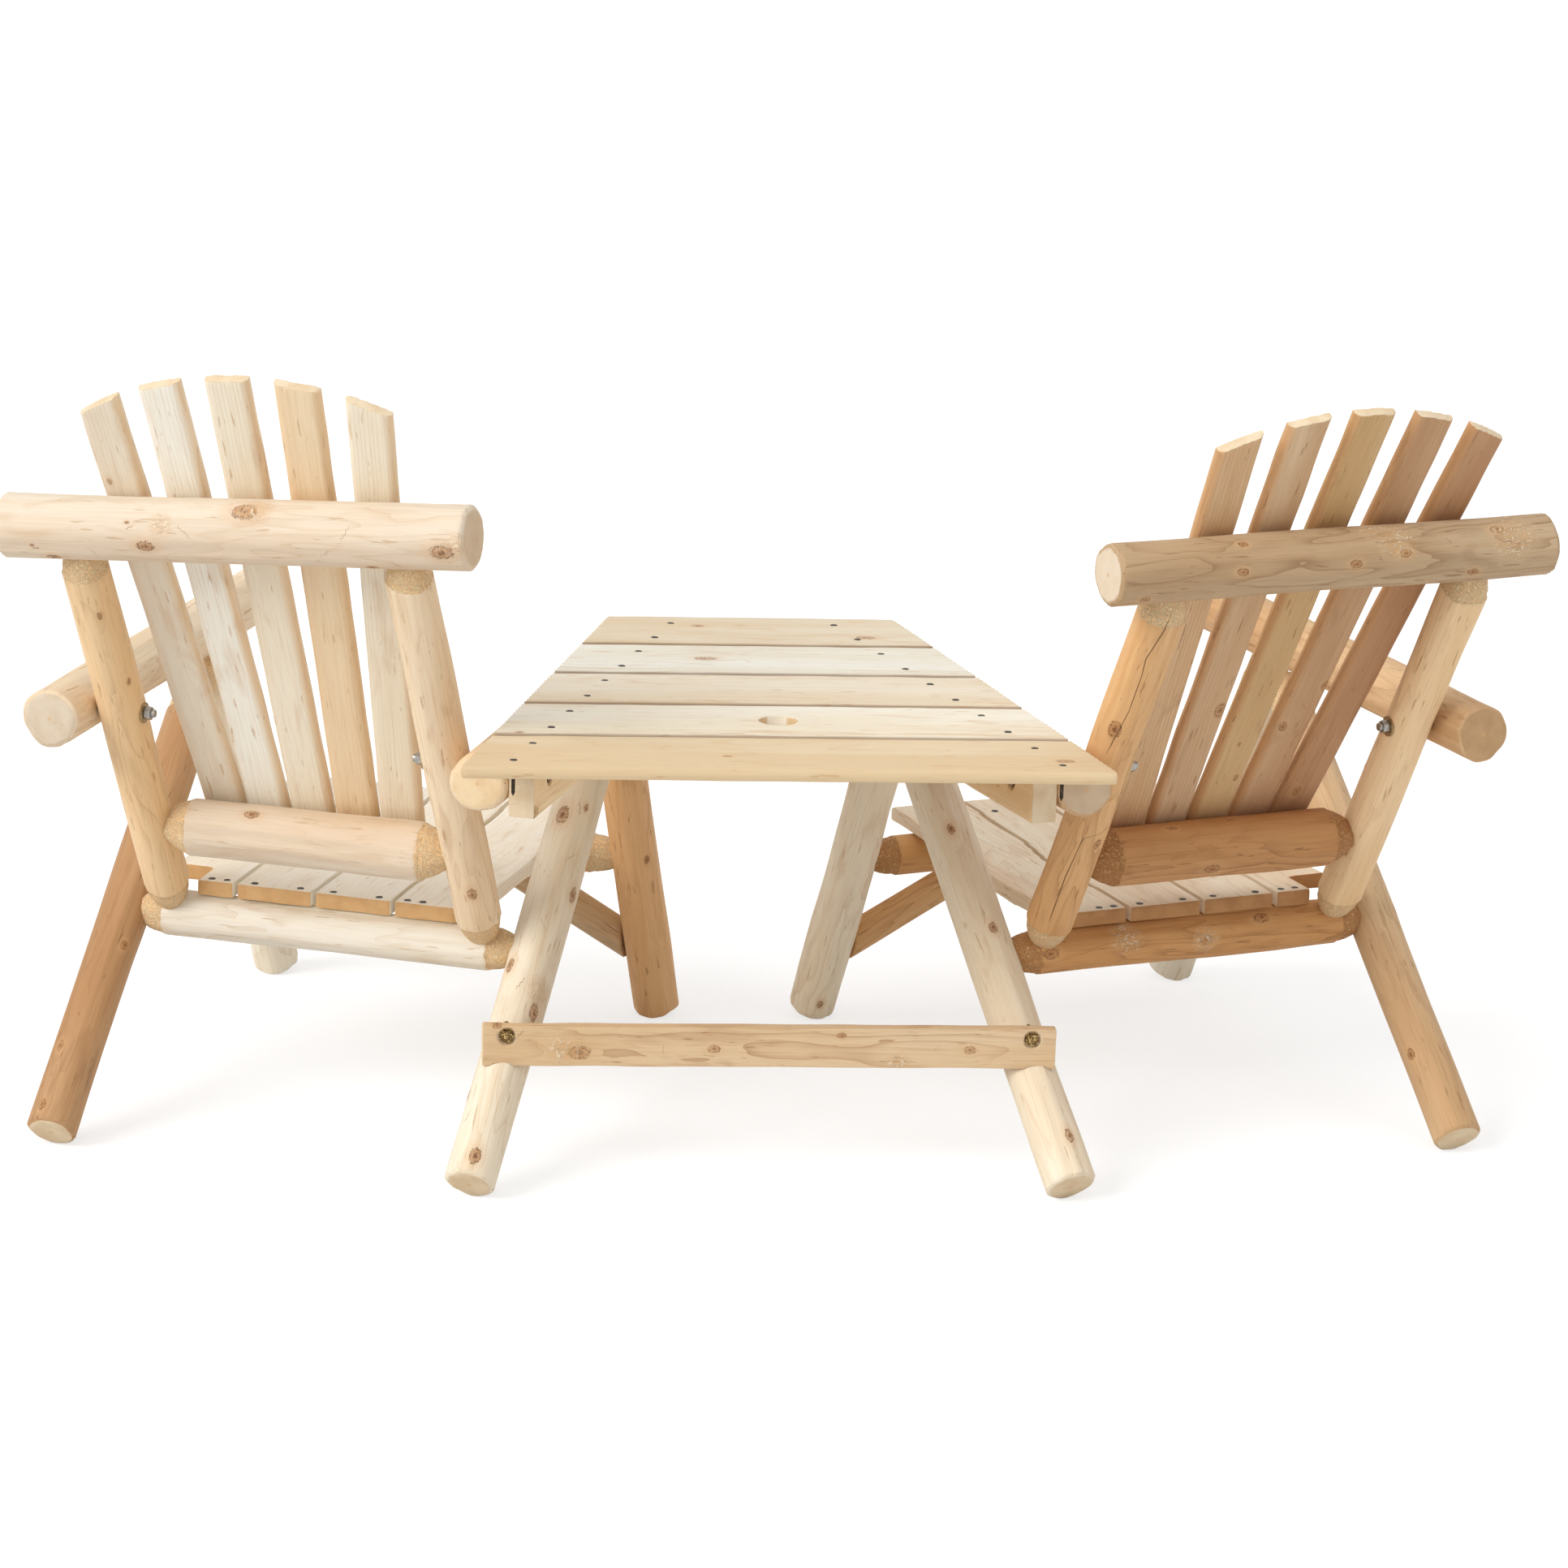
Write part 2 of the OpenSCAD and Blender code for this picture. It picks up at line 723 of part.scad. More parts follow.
// Side outline of a seat slat: level on the front rail, sunk in the middle, level at the rear.
module seat_outline() {
  rear_y = -rear_rail_y + seat_tail;
  bend_a = front_rail_y + 34;
  bend_b = front_rail_y + 190;
  bend_c = -rear_rail_y - 60;
  polygon([
    [seat_front_y, seat_front_z + 3],
    [seat_front_y + 4, seat_front_z],
    [bend_a, seat_front_z],
    [bend_b, seat_rear_z - seat_dip],
    [bend_c, seat_rear_z],
    [rear_y, seat_rear_z],
    [rear_y, seat_rear_z + seat_slat_t - 1],
    [rear_y - 1, seat_rear_z + seat_slat_t],
    [bend_c, seat_rear_z + seat_slat_t],
    [bend_b, seat_rear_z + seat_slat_t - seat_dip],
    [bend_b - 60, seat_rear_z + seat_slat_t + 4],
    [bend_a, seat_front_z + seat_slat_t - 1.5],
    [bend_a - 30, seat_front_z + seat_slat_t],
    [seat_front_y + 8, seat_front_z + seat_slat_t],
    [seat_front_y + 2, seat_front_z + seat_slat_t - 3],
    [seat_front_y, seat_front_z + seat_slat_t - 9]
  ]);
}
module seat_slat(i) {
  difference() {
    translate([seat_slat_x(i) - seat_slat_w / 2, 0, 0])
      rotate([90, 0, 90])
        linear_extrude(seat_slat_w)
          seat_outline();
    // outermost slats are notched around the posts
    for (side = [-1, 1])
      translate([side > 0 ? notch_x : -notch_x - leg_x, notch_y, 0])
        cube([leg_x, leg_x, far]);
    seat_screw_spots(i)
      screw(fit_gap);
  }
}

// Table
// The boards' long edges are rounded, their ends run along the arms.
module board(i) {
  front = board_front(i);
  difference() {
    translate([-far / 2, front, table_z - board_t])
      rotate([90, 0, 90])
        linear_extrude(far)
          board_section();
    translate([0, 0, table_z - board_t - 5])
      linear_extrude(board_t + 10)
        difference() {
          square([far + 10, far], center = true);
          polygon([
            [-table_half(front - 9), front - 9], [table_half(front - 9), front - 9],
            [table_half(front + board_w + 9), front + board_w + 9],
            [-table_half(front + board_w + 9), front + board_w + 9]
          ]);
        }
    table_screw_spots(i)
      screw(fit_gap);
    translate([0, table_rear_y - hole_back, table_z - board_t - 5])
      cylinder(r = hole_r, h = board_t + 10);
  }
}
module board_section() {
  r = board_round;
  polygon([
    [1, 0], [board_w - 1, 0], [board_w, 1], [board_w, board_t - r],
    [board_w - r * 0.3, board_t - r * 0.3], [board_w - r, board_t],
    [r, board_t], [r * 0.3, board_t - r * 0.3], [0, board_t - r], [0, 1]
  ]);
}
module cleat() {
  difference() {
    translate([-cleat_x - cleat_t / 2, -cleat_front, table_z - board_t - fit_gap - cleat_h])
      cube([cleat_t, cleat_front + cleat_back, cleat_h]);
    cleat_lag_spots()
      lag_recess(40);
    from_middle()
      for (i = [1 : board_n])
        table_screw_spots(i)
          screw(fit_gap);
  }
}
module stretcher() {
  difference() {
    translate([-stretcher_half, stretcher_rear_y - stretcher_t, stretcher_z - stretcher_h / 2])
      cube([2 * stretcher_half, stretcher_t, stretcher_h]);
    stretcher_lag_spots()
      lag_recess(40);
    // shallow seats for the round legs
    for (side = [-1, 1])
      leg_seat(side);
  }
}
module leg_seat(side) {
  if (side > 0)
    left_chair()
      inner_rear_leg_space();
  else
    right_chair()
      inner_rear_leg_space();
}
module inner_rear_leg_space() {
  rear_frame()
    translate([-leg_x, 0, 0])
      cylinder(r = leg_r + fit_gap, h = leg_cross_along);
}

// Fasteners
module chair_screws(lay, rail) {
  for (i = [1 : seat_n])
    seat_screw_spots(i)
      screw();
  for (i = [1 : 5])
    back_screw_spots(i, lay, rail)
      screw();
  for (side = [-1, 1])
    brace_screw_spots(side)
      screw();
}
module chair_lags() {
  for (side = [-1, 1])
    rear_frame()
      translate([side * leg_x, 0, 0])
        leg_lag_spot()
          lag_bolt();
  cleat_lag_spots()
    lag_bolt();
}
module both_arm_spots() {
  arm_bolt_spot(outer_arm_z)
    children();
  mirror([1, 0, 0])
    arm_bolt_spot(inner_arm_z)
      children();
}
module arm_bolt() {
  translate([0, 0, -washer_t - nut_h - bolt_tail + 2])
    cylinder(r = bolt_r, h = bolt_head_seat + washer_t + nut_h + bolt_tail - 2);
  translate([0, 0, bolt_head_seat])
    intersection() {
      cylinder(r = bolt_head_r, h = bolt_head_h);
      translate([0, 0, -7])
        sphere(r = 13);
    }
}
module arm_nut() {
  translate([0, 0, 2 - washer_t - nut_h - 2 * fit_gap])
    difference() {
      intersection() {
        cylinder(r = nut_flats / sqrt(3), h = nut_h, $fn = 6);
        translate([0, 0, nut_h - 14])
          sphere(r = 15.6);
      }
      translate([0, 0, -1])
        cylinder(r = bolt_r + fit_gap, h = nut_h + 2);
    }
}
module arm_washer() {
  translate([0, 0, 2 - washer_t - fit_gap])
    difference() {
      cylinder(r = washer_r, h = washer_t);
      translate([0, 0, -1])
        cylinder(r = bolt_r + 0.5, h = washer_t + 2);
    }
}

// Nodes
module left_part(name) {
  pale_wood()
    left_chair()
      chair_part(name, left_rail, left_fan, left_arch_x, left_arch_up);
}
module right_part(name) {
  tan_wood()
    right_chair()
      chair_part(name, right_rail, right_fan, right_arch_x, right_arch_up);
}
module chair_part(name, rail, lay, arch_x, arch_up) {
  if (name == "outer_arm") arm(1);
  if (name == "inner_arm") arm(-1);
  if (name == "outer_front_leg") front_leg(1);
  if (name == "inner_front_leg") front_leg(-1);
  if (name == "outer_rear_leg") rear_leg(1);
  if (name == "inner_rear_leg") rear_leg(-1);
  if (name == "outer_post") post(1, rail);
  if (name == "inner_post") post(-1, rail);
  if (name == "top_rail") top_rail(rail, lay);
  if (name == "lower_back_rail") lower_back_rail(lay, rail);
  if (name == "rear_seat_rail") rear_seat_rail();
  if (name == "front_seat_rail") front_seat_rail();
  if (name == "outer_brace") brace(1);
  if (name == "inner_brace") brace(-1);
  for (i = [1 : 5])
    if (name == str("back_slat_", i)) back_slat(i, lay, rail, arch_x, arch_up);
  for (i = [1 : seat_n])
    if (name == str("seat_slat_", i)) seat_slat(i);
}

module left_outer_arm() { left_part("outer_arm"); }
module left_inner_arm() { left_part("inner_arm"); }
module left_outer_front_leg() { left_part("outer_front_leg"); }
module left_inner_front_leg() { left_part("inner_front_leg"); }
module left_outer_rear_leg() { left_part("outer_rear_leg"); }
module left_inner_rear_leg() { left_part("inner_rear_leg"); }
module left_outer_post() { left_part("outer_post"); }
module left_inner_post() { left_part("inner_post"); }
module left_top_rail() { left_part("top_rail"); }
module left_lower_back_rail() { left_part("lower_back_rail"); }
module left_rear_seat_rail() { left_part("rear_seat_rail"); }
module left_front_seat_rail() { left_part("front_seat_rail"); }
module left_outer_brace() { left_part("outer_brace"); }
module left_inner_brace() { left_part("inner_brace"); }
module left_back_slat_1() { left_part("back_slat_1"); }
module left_back_slat_2() { left_part("back_slat_2"); }
module left_back_slat_3() { left_part("back_slat_3"); }
module left_back_slat_4() { left_part("back_slat_4"); }
module left_back_slat_5() { left_part("back_slat_5"); }
module left_seat_slat_1() { left_part("seat_slat_1"); }
module left_seat_slat_2() { left_part("seat_slat_2"); }
module left_seat_slat_3() { left_part("seat_slat_3"); }
module left_seat_slat_4() { left_part("seat_slat_4"); }
module right_outer_arm() { right_part("outer_arm"); }
module right_inner_arm() { right_part("inner_arm"); }
module right_outer_front_leg() { right_part("outer_front_leg"); }
module right_inner_front_leg() { right_part("inner_front_leg"); }
module right_outer_rear_leg() { right_part("outer_rear_leg"); }
module right_inner_rear_leg() { right_part("inner_rear_leg"); }
module right_outer_post() { right_part("outer_post"); }
module right_inner_post() { right_part("inner_post"); }
module right_top_rail() { right_part("top_rail"); }
module right_lower_back_rail() { right_part("lower_back_rail"); }
module right_rear_seat_rail() { right_part("rear_seat_rail"); }
module right_front_seat_rail() { right_part("front_seat_rail"); }
module right_outer_brace() { right_part("outer_brace"); }
module right_inner_brace() { right_part("inner_brace"); }
module right_back_slat_1() { right_part("back_slat_1"); }
module right_back_slat_2() { right_part("back_slat_2"); }
module right_back_slat_3() { right_part("back_slat_3"); }
module right_back_slat_4() { right_part("back_slat_4"); }
module right_back_slat_5() { right_part("back_slat_5"); }
module right_seat_slat_1() { right_part("seat_slat_1"); }
module right_seat_slat_2() { right_part("seat_slat_2"); }
module right_seat_slat_3() { right_part("seat_slat_3"); }
module right_seat_slat_4() { right_part("seat_slat_4"); }
module table_board_1() { tan_wood() board(1); }
module table_board_2() { pale_wood() board(2); }
module table_board_3() { pale_wood() board(3); }
module table_board_4() { pale_wood() board(4); }
module table_board_5() { pale_wood() board(5); }
module left_table_cleat() { pale_wood() left_chair() cleat(); }
module right_table_cleat() { tan_wood() right_chair() cleat(); }
module rear_stretcher() { tan_wood() stretcher(); }
module slat_screws() {
  steel() {
    left_chair()
      chair_screws(left_fan, left_rail);
    right_chair()
      chair_screws(right_fan, right_rail);
  }
}
module table_screws() {
  steel()
    for (i = [1 : board_n])
      table_screw_spots(i)
        screw();
}
module lag_bolts() {
  bronze() {
    stretcher_lag_spots()
      lag_bolt();
    left_chair()
      chair_lags();
    right_chair()
      chair_lags();
  }
}
module arm_bolts() {
  steel() {
    left_chair()
      both_arm_spots()
        arm_bolt();
    right_chair()
      both_arm_spots()
        arm_bolt();
  }
}
module arm_nuts() {
  steel() {
    left_chair()
      both_arm_spots()
        arm_nut();
    right_chair()
      both_arm_spots()
        arm_nut();
  }
}
module arm_washers() {
  steel() {
    left_chair()
      both_arm_spots()
        arm_washer();
    right_chair()
      both_arm_spots()
        arm_washer();
  }
}

left_outer_arm();
left_inner_arm();
left_outer_front_leg();
left_inner_front_leg();
left_outer_rear_leg();
left_inner_rear_leg();
left_outer_post();
left_inner_post();
left_top_rail();
left_lower_back_rail();
left_rear_seat_rail();
left_front_seat_rail();
left_outer_brace();
left_inner_brace();
left_back_slat_1();
left_back_slat_2();
left_back_slat_3();
left_back_slat_4();
left_back_slat_5();
left_seat_slat_1();
left_seat_slat_2();
left_seat_slat_3();
left_seat_slat_4();
right_outer_arm();
right_inner_arm();
right_outer_front_leg();
right_inner_front_leg();
right_outer_rear_leg();
right_inner_rear_leg();
right_outer_post();
right_inner_post();
right_top_rail();
right_lower_back_rail();
right_rear_seat_rail();
right_front_seat_rail();
right_outer_brace();
right_inner_brace();
right_back_slat_1();
right_back_slat_2();
right_back_slat_3();
right_back_slat_4();
right_back_slat_5();
right_seat_slat_1();
right_seat_slat_2();
right_seat_slat_3();
right_seat_slat_4();
table_board_1();
table_board_2();
table_board_3();
table_board_4();
table_board_5();
left_table_cleat();
right_table_cleat();
rear_stretcher();
slat_screws();
table_screws();
lag_bolts();
arm_bolts();
arm_nuts();
arm_washers();
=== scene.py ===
import math

import bpy
import numpy as np
from mathutils import Matrix, Vector


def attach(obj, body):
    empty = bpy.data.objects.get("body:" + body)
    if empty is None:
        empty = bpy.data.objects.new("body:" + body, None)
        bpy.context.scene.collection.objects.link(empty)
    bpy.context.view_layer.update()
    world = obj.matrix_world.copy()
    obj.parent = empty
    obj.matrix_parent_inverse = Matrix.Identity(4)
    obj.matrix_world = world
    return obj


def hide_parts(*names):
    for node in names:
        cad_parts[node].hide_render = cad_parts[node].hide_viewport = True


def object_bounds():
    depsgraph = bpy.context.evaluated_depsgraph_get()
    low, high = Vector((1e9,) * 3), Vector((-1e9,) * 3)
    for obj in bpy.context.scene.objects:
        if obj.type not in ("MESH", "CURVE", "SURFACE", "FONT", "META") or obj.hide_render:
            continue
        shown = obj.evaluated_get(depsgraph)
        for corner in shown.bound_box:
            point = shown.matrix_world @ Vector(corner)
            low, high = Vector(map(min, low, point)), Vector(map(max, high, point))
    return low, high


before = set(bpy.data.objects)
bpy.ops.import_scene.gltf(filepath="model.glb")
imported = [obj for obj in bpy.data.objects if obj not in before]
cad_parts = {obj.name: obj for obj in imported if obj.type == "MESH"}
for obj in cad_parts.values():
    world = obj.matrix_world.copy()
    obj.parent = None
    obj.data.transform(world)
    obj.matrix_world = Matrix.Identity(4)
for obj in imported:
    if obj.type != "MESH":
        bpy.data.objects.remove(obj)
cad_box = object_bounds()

# The view. The seat stands on a pale studio floor and is seen from behind and a little above, from
# six metres away. Soft daylight comes from the viewer's left, so the left chair is the brighter one.
PHOTO_PX = 1932
FOCAL_PX = 6460
EYE = Vector((0.4654, 6.2878, 2.1758))
LOOK = Vector((-0.0759, -0.9599, -0.2700))
RIGHT = Vector((-0.9971, 0.0704, 0.0301))
FILM_MM = 36.0
FLOOR_SIZE = 60.0
camera_data = bpy.data.cameras.new("view_camera")
camera_data.sensor_width = FILM_MM
camera_data.lens = FOCAL_PX / PHOTO_PX * FILM_MM
camera_data.clip_end = FLOOR_SIZE
camera = bpy.data.objects.new("view_camera", camera_data)
bpy.context.scene.collection.objects.link(camera)
across = (RIGHT - LOOK * RIGHT.dot(LOOK)).normalized()
ahead = LOOK.normalized()
upward = across.cross(ahead)
camera.matrix_world = (
    Matrix.Translation(EYE) @ Matrix((across, upward, -ahead)).transposed().to_4x4()
)
bpy.context.scene.camera = camera
bpy.context.scene.view_settings.view_transform = "Standard"


class Flow:
    """One output of a node. Arithmetic on it adds Math nodes to its tree."""

    def __init__(self, tree, out=None):
        self.tree, self.out = tree, out

    def node(self, kind, values, output=0, **settings):
        made = self.tree.nodes.new(kind)
        for name, setting in settings.items():
            setattr(made, name, setting)
        for name, value in values.items():
            if isinstance(value, Flow):
                self.tree.links.new(value.out, made.inputs[name])
            else:
                made.inputs[name].default_value = value
        return Flow(self.tree, made.outputs[output] if made.outputs else None)

    def math(self, operation, *values):
        return self.node("ShaderNodeMath", dict(enumerate(values)), operation=operation)

    def __add__(self, other):
        return self.math("ADD", self, other)

    def __radd__(self, other):
        return self.math("ADD", other, self)

    def __sub__(self, other):
        return self.math("SUBTRACT", self, other)

    def __rsub__(self, other):
        return self.math("SUBTRACT", other, self)

    def __mul__(self, other):
        return self.math("MULTIPLY", self, other)

    def __rmul__(self, other):
        return self.math("MULTIPLY", other, self)

    def __truediv__(self, other):
        return self.math("DIVIDE", self, other)

    def __pow__(self, other):
        return self.math("POWER", self, other)

    def __abs__(self):
        return self.math("ABSOLUTE", self)

    def step(self, low, high):
        """0 at low, 1 at high, smooth between them."""
        return self.node(
            "ShaderNodeMapRange", {0: self, 1: low, 2: high}, interpolation_type="SMOOTHSTEP"
        )

    def between(self, first, second):
        """The first colour where this mask is 0, the second where it is 1."""
        return self.node(
            "ShaderNodeMix", {0: self, 6: first, 7: second}, output=2, data_type="RGBA"
        )

    def spread(self, x, y, z):
        """The same place counted in steps, so many to a metre along each axis."""
        return self.node("ShaderNodeVectorMath", {0: self, 1: (x, y, z)}, operation="MULTIPLY")

    def noise(self, detail=2.0, distortion=0.0):
        values = {"Vector": self, "Scale": 1.0, "Detail": detail, "Distortion": distortion}
        return self.node("ShaderNodeTexNoise", values)

    def path(self, ray):
        return self.node("ShaderNodeLightPath", {}, output=ray)

    def looked_at(self):
        """1 for rays of the camera, gloss and glass, 0 for the rays that light the seat."""
        rays = self.path("Is Camera Ray") + self.path("Is Glossy Ray") + self.path("Is Transmission Ray")
        return rays.step(0.0, 1.0)


def tint(red, green, blue):
    """A colour as it is seen, 0 to 255, in the linear form that a shader takes."""
    shares = (red / 255, green / 255, blue / 255)
    return tuple(c / 12.92 if c < 0.04 else ((c + 0.055) / 1.055) ** 2.4 for c in shares) + (1.0,)


def lamp(name, toward, strength, spread, colour):
    sun = bpy.data.lights.new(name, "SUN")
    sun.energy, sun.angle, sun.color = strength, math.radians(spread), colour
    holder = bpy.data.objects.new(name, sun)
    holder.rotation_euler = Vector(toward).to_track_quat("-Z", "Y").to_euler()
    bpy.context.scene.collection.objects.link(holder)


lamp("window_light", toward=(-0.80, -0.50, -0.62), strength=1.9, spread=34, colour=(1.0, 0.985, 0.96))
lamp("ceiling_light", toward=(0.10, -0.35, -1.0), strength=0.55, spread=60, colour=(1.0, 1.0, 1.0))

WHITE = (1, 1, 1, 1)
SKY_LEVEL = 0.60
world = bpy.data.worlds.new("studio")
world.use_nodes = True
world.node_tree.nodes.clear()
studio = Flow(world.node_tree)
sky = studio.node("ShaderNodeBackground", {"Color": WHITE, "Strength": SKY_LEVEL})
backdrop = studio.node("ShaderNodeBackground", {"Color": WHITE, "Strength": 1.0})
seen = studio.node("ShaderNodeMixShader", {0: studio.looked_at(), 1: sky, 2: backdrop})
studio.node("ShaderNodeOutputWorld", {"Surface": seen})
bpy.context.scene.world = world

PAPER_GREY = (0.88, 0.88, 0.88, 1)
PAPER_GLOW = 1.2
GLOW_SHARE = 0.55
bpy.ops.object.select_all(action="DESELECT")
bpy.ops.mesh.primitive_plane_add(size=FLOOR_SIZE, location=(0, 0, 0))
floor = bpy.context.object
floor.name = "studio_floor"
paper = bpy.data.materials.new("floor_paper")
paper.use_nodes = True
paper.node_tree.nodes.clear()
sheet = Flow(paper.node_tree)
lit = sheet.node("ShaderNodeBsdfDiffuse", {"Color": PAPER_GREY, "Roughness": 1.0})
bright = sheet.node("ShaderNodeEmission", {"Color": WHITE, "Strength": PAPER_GLOW})
shown = sheet.node("ShaderNodeMixShader", {0: sheet.looked_at() * GLOW_SHARE, 1: lit, 2: bright})
sheet.node("ShaderNodeOutputMaterial", {"Surface": shown})
floor.data.materials.append(paper)

# Legs. Each is a peeled cedar log 62 mm thick, sawn square at the foot and cut to a rough cone at the
# top. The front ones end in a tenon under the arm, the rear ones are coped against the front ones.
LEG_R = 0.031
VOXEL = 0.003
MERGE_GAP = 0.00001
SIDE_SLOPES = (0.2, 0.05, 0.01, 0.003)
SMOOTH_DEG = 38


def picked(piece):
    """Selects this piece alone for the operators that follow."""
    bpy.ops.object.select_all(action="DESELECT")
    piece.select_set(True)
    bpy.context.view_layer.objects.active = piece


def points_of(mesh, what="co"):
    found = np.empty(len(mesh.vertices) * 3)
    mesh.vertices.foreach_get(what, found)
    return found.reshape(-1, 3)


def own_axes(mesh):
    """How a piece's width, thickness and length point. Its long sides show it, so the faces that
    look along the length are left out more strictly at each turn."""
    normals = np.empty(len(mesh.polygons) * 3)
    areas = np.empty(len(mesh.polygons))
    mesh.polygons.foreach_get("normal", normals)
    mesh.polygons.foreach_get("area", areas)
    normals = normals.reshape(-1, 3)
    axes = lambda weights: np.linalg.eigh((normals * weights[:, None]).T @ normals)[1]
    weights = areas
    for slope in SIDE_SLOPES:
        weights = areas * (abs(normals @ axes(weights)[:, 0]) < slope)
    found = axes(weights)
    length, depth = Vector(found[:, 0]), Vector(found[:, 2])
    if max(length, key=abs) < 0:
        length = -length
    if depth.y + depth.z < 0:
        depth = -depth
    return Matrix((depth.cross(length), depth, length)).transposed().to_4x4()


def copied(node):
    """A merged copy of a CAD node's mesh, laid along its own axes, and the way back to its place."""
    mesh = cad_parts[node].data.copy()
    piece = bpy.data.objects.new(node + "_wood", mesh)
    bpy.context.scene.collection.objects.link(piece)
    picked(piece)
    bpy.ops.object.mode_set(mode="EDIT")
    bpy.ops.mesh.select_all(action="SELECT")
    bpy.ops.mesh.remove_doubles(threshold=MERGE_GAP)
    bpy.ops.object.mode_set(mode="OBJECT")
    mesh.materials.clear()
    turn = own_axes(mesh)
    spots = points_of(mesh) @ np.array(turn.to_3x3())
    middle = (spots.min(0) + spots.max(0)) / 2
    place = turn @ Matrix.Translation(Vector(middle))
    mesh.transform(place.inverted())
    return piece, place


def evened(piece, size=VOXEL):
    """Remeshed to small even faces along its own axes."""
    even = piece.modifiers.new("even", "REMESH")
    even.mode = "VOXEL"
    even.voxel_size = size
    bpy.ops.object.modifier_apply(modifier=even.name)


GRAIN_SPAN = 97


def dice_of(node):
    """The piece's own random draws, and how far along the grain its wood is cut."""
    seed = sum(ord(letter) * (i + 3) for i, letter in enumerate(node))
    return np.random.default_rng(seed), seed % GRAIN_SPAN


def ripple(points, size, waves, dice):
    """Smooth random heights of about -1 to 1, in swells of about this size."""
    total = np.zeros(len(points))
    for _ in range(waves):
        way = dice.normal(size=3)
        way *= 2 * math.pi / size * dice.uniform(0.7, 1.3) / np.linalg.norm(way)
        total += np.sin(points @ way + dice.uniform(0, 2 * math.pi))
    return total / math.sqrt(waves)


HIDDEN_PX = 1000
KNOT_SHARE = 0.78


def under_pixel(points, normals, place, pixel):
    """The point of the piece that shows at this pixel of the view."""
    turn = np.array(place.to_3x3())
    away = points @ turn.T + np.array(place.translation) - np.array(EYE)
    depth = away @ np.array(ahead)
    right = PHOTO_PX / 2 + FOCAL_PX * (away @ np.array(across)) / depth
    down = PHOTO_PX / 2 - FOCAL_PX * (away @ np.array(upward)) / depth
    hidden = np.einsum("ij,ij->i", normals @ turn.T, away) > 0
    return np.argmin(np.hypot(right - pixel[0], down - pixel[1]) + HIDDEN_PX * hidden)


def flaws(points, normals, place, strength, knots, torn, cracks=()):
    """The points where a piece has its knots, torn grain and checks, found from their pixels."""
    at = lambda pixel: under_pixel(points, normals, place, pixel)
    marks = [(at(pixel), KNOT_SHARE * size, strength) for pixel, size in dict(knots).items()]
    rough = [(at(pixel), size) for pixel, size in dict(torn).items()]
    lines = [[at(pixel) for pixel in line] for line in cracks]
    return marks, rough, lines


def torn_grain(spots, rough):
    """How torn the grain is at each point, 0 to 1."""
    fuzz = np.zeros(len(spots))
    for at, size in rough:
        near = np.linalg.norm(spots - spots[at], axis=1) / size
        fuzz = np.maximum(fuzz, np.clip(1.6 - 1.2 * near, 0, 1))
    return fuzz


def stored(piece, **layers):
    """Keeps three values a point under these names, for the piece's material to read."""
    for name, values in layers.items():
        layer = piece.data.attributes.new(name, "FLOAT_VECTOR", "POINT")
        layer.data.foreach_set("vector", values.astype(np.float32).ravel())


KNOT_FAR = 9.0
KNOT_LONG = 0.6
KNOT_HEART = 0.8
KNOT_SWAY = 30
CHECK_FAR = 0.05
CHECK_PAST = 0.01
CHECK_TAPER = 0.03


def marked(piece, along, round_s, marks, ends, lines, turned, seam_shading=0.0):
    """Keeps how each point lies to its nearest knot, to cones, sawn ends and torn grain, and to
    checks and the painted shade of seams. Gives how far the knots push the grain aside."""
    knot = np.tile([KNOT_FAR, KNOT_FAR, 0.0], (len(along), 1))
    nearest = np.full(len(along), KNOT_FAR ** 2)
    shift = np.zeros(len(along))
    for at, size, strength in marks:
        u = (along - along[at]) / size
        v = turned(round_s - round_s[at]) / size
        far = (KNOT_LONG * u) ** 2 + v ** 2
        shift -= size * v / np.maximum(u ** 2 + v ** 2, KNOT_HEART) * np.exp(-far / KNOT_SWAY)
        closer = far < nearest
        knot[closer] = np.stack([u, v, np.full(len(u), strength)], 1)[closer]
        nearest = np.minimum(far, nearest)
    crack = np.tile([CHECK_FAR, 0.0, 0.0], (len(along), 1))
    for line in lines:
        line = sorted(line, key=lambda at: along[at])
        base = round_s[line[0]]
        run = [along[at] for at in line]
        bends = [float(turned(np.array([round_s[at] - base]))[0]) for at in line]
        off = turned(round_s - base) - np.interp(along, run, bends)
        past = np.maximum(along - run[-1], run[0] - along)
        closer = (abs(off) < abs(crack[:, 0])) & (past < CHECK_PAST)
        crack[closer, :2] = np.stack([off, np.clip(-past / CHECK_TAPER, 0, 1)], 1)[closer]
    # The third value is painted shade along board edges that lie close to the next board.
    crack[:, 2] = seam_shading
    stored(piece, knot=knot, ends=ends, crack=crack)
    return shift


def settled(piece, place, node, material):
    """Back to its place, kept inside the whole seat's size, and standing for its CAD node."""
    piece.data.transform(place)
    low, high = (np.array(corner) for corner in cad_box)
    piece.data.vertices.foreach_set("co", np.clip(points_of(piece.data), low, high).ravel())
    piece.data.update()
    picked(piece)
    bpy.ops.object.shade_smooth_by_angle(angle=math.radians(SMOOTH_DEG))
    piece.data.materials.append(material)
    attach(piece, "root")
    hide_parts(node)


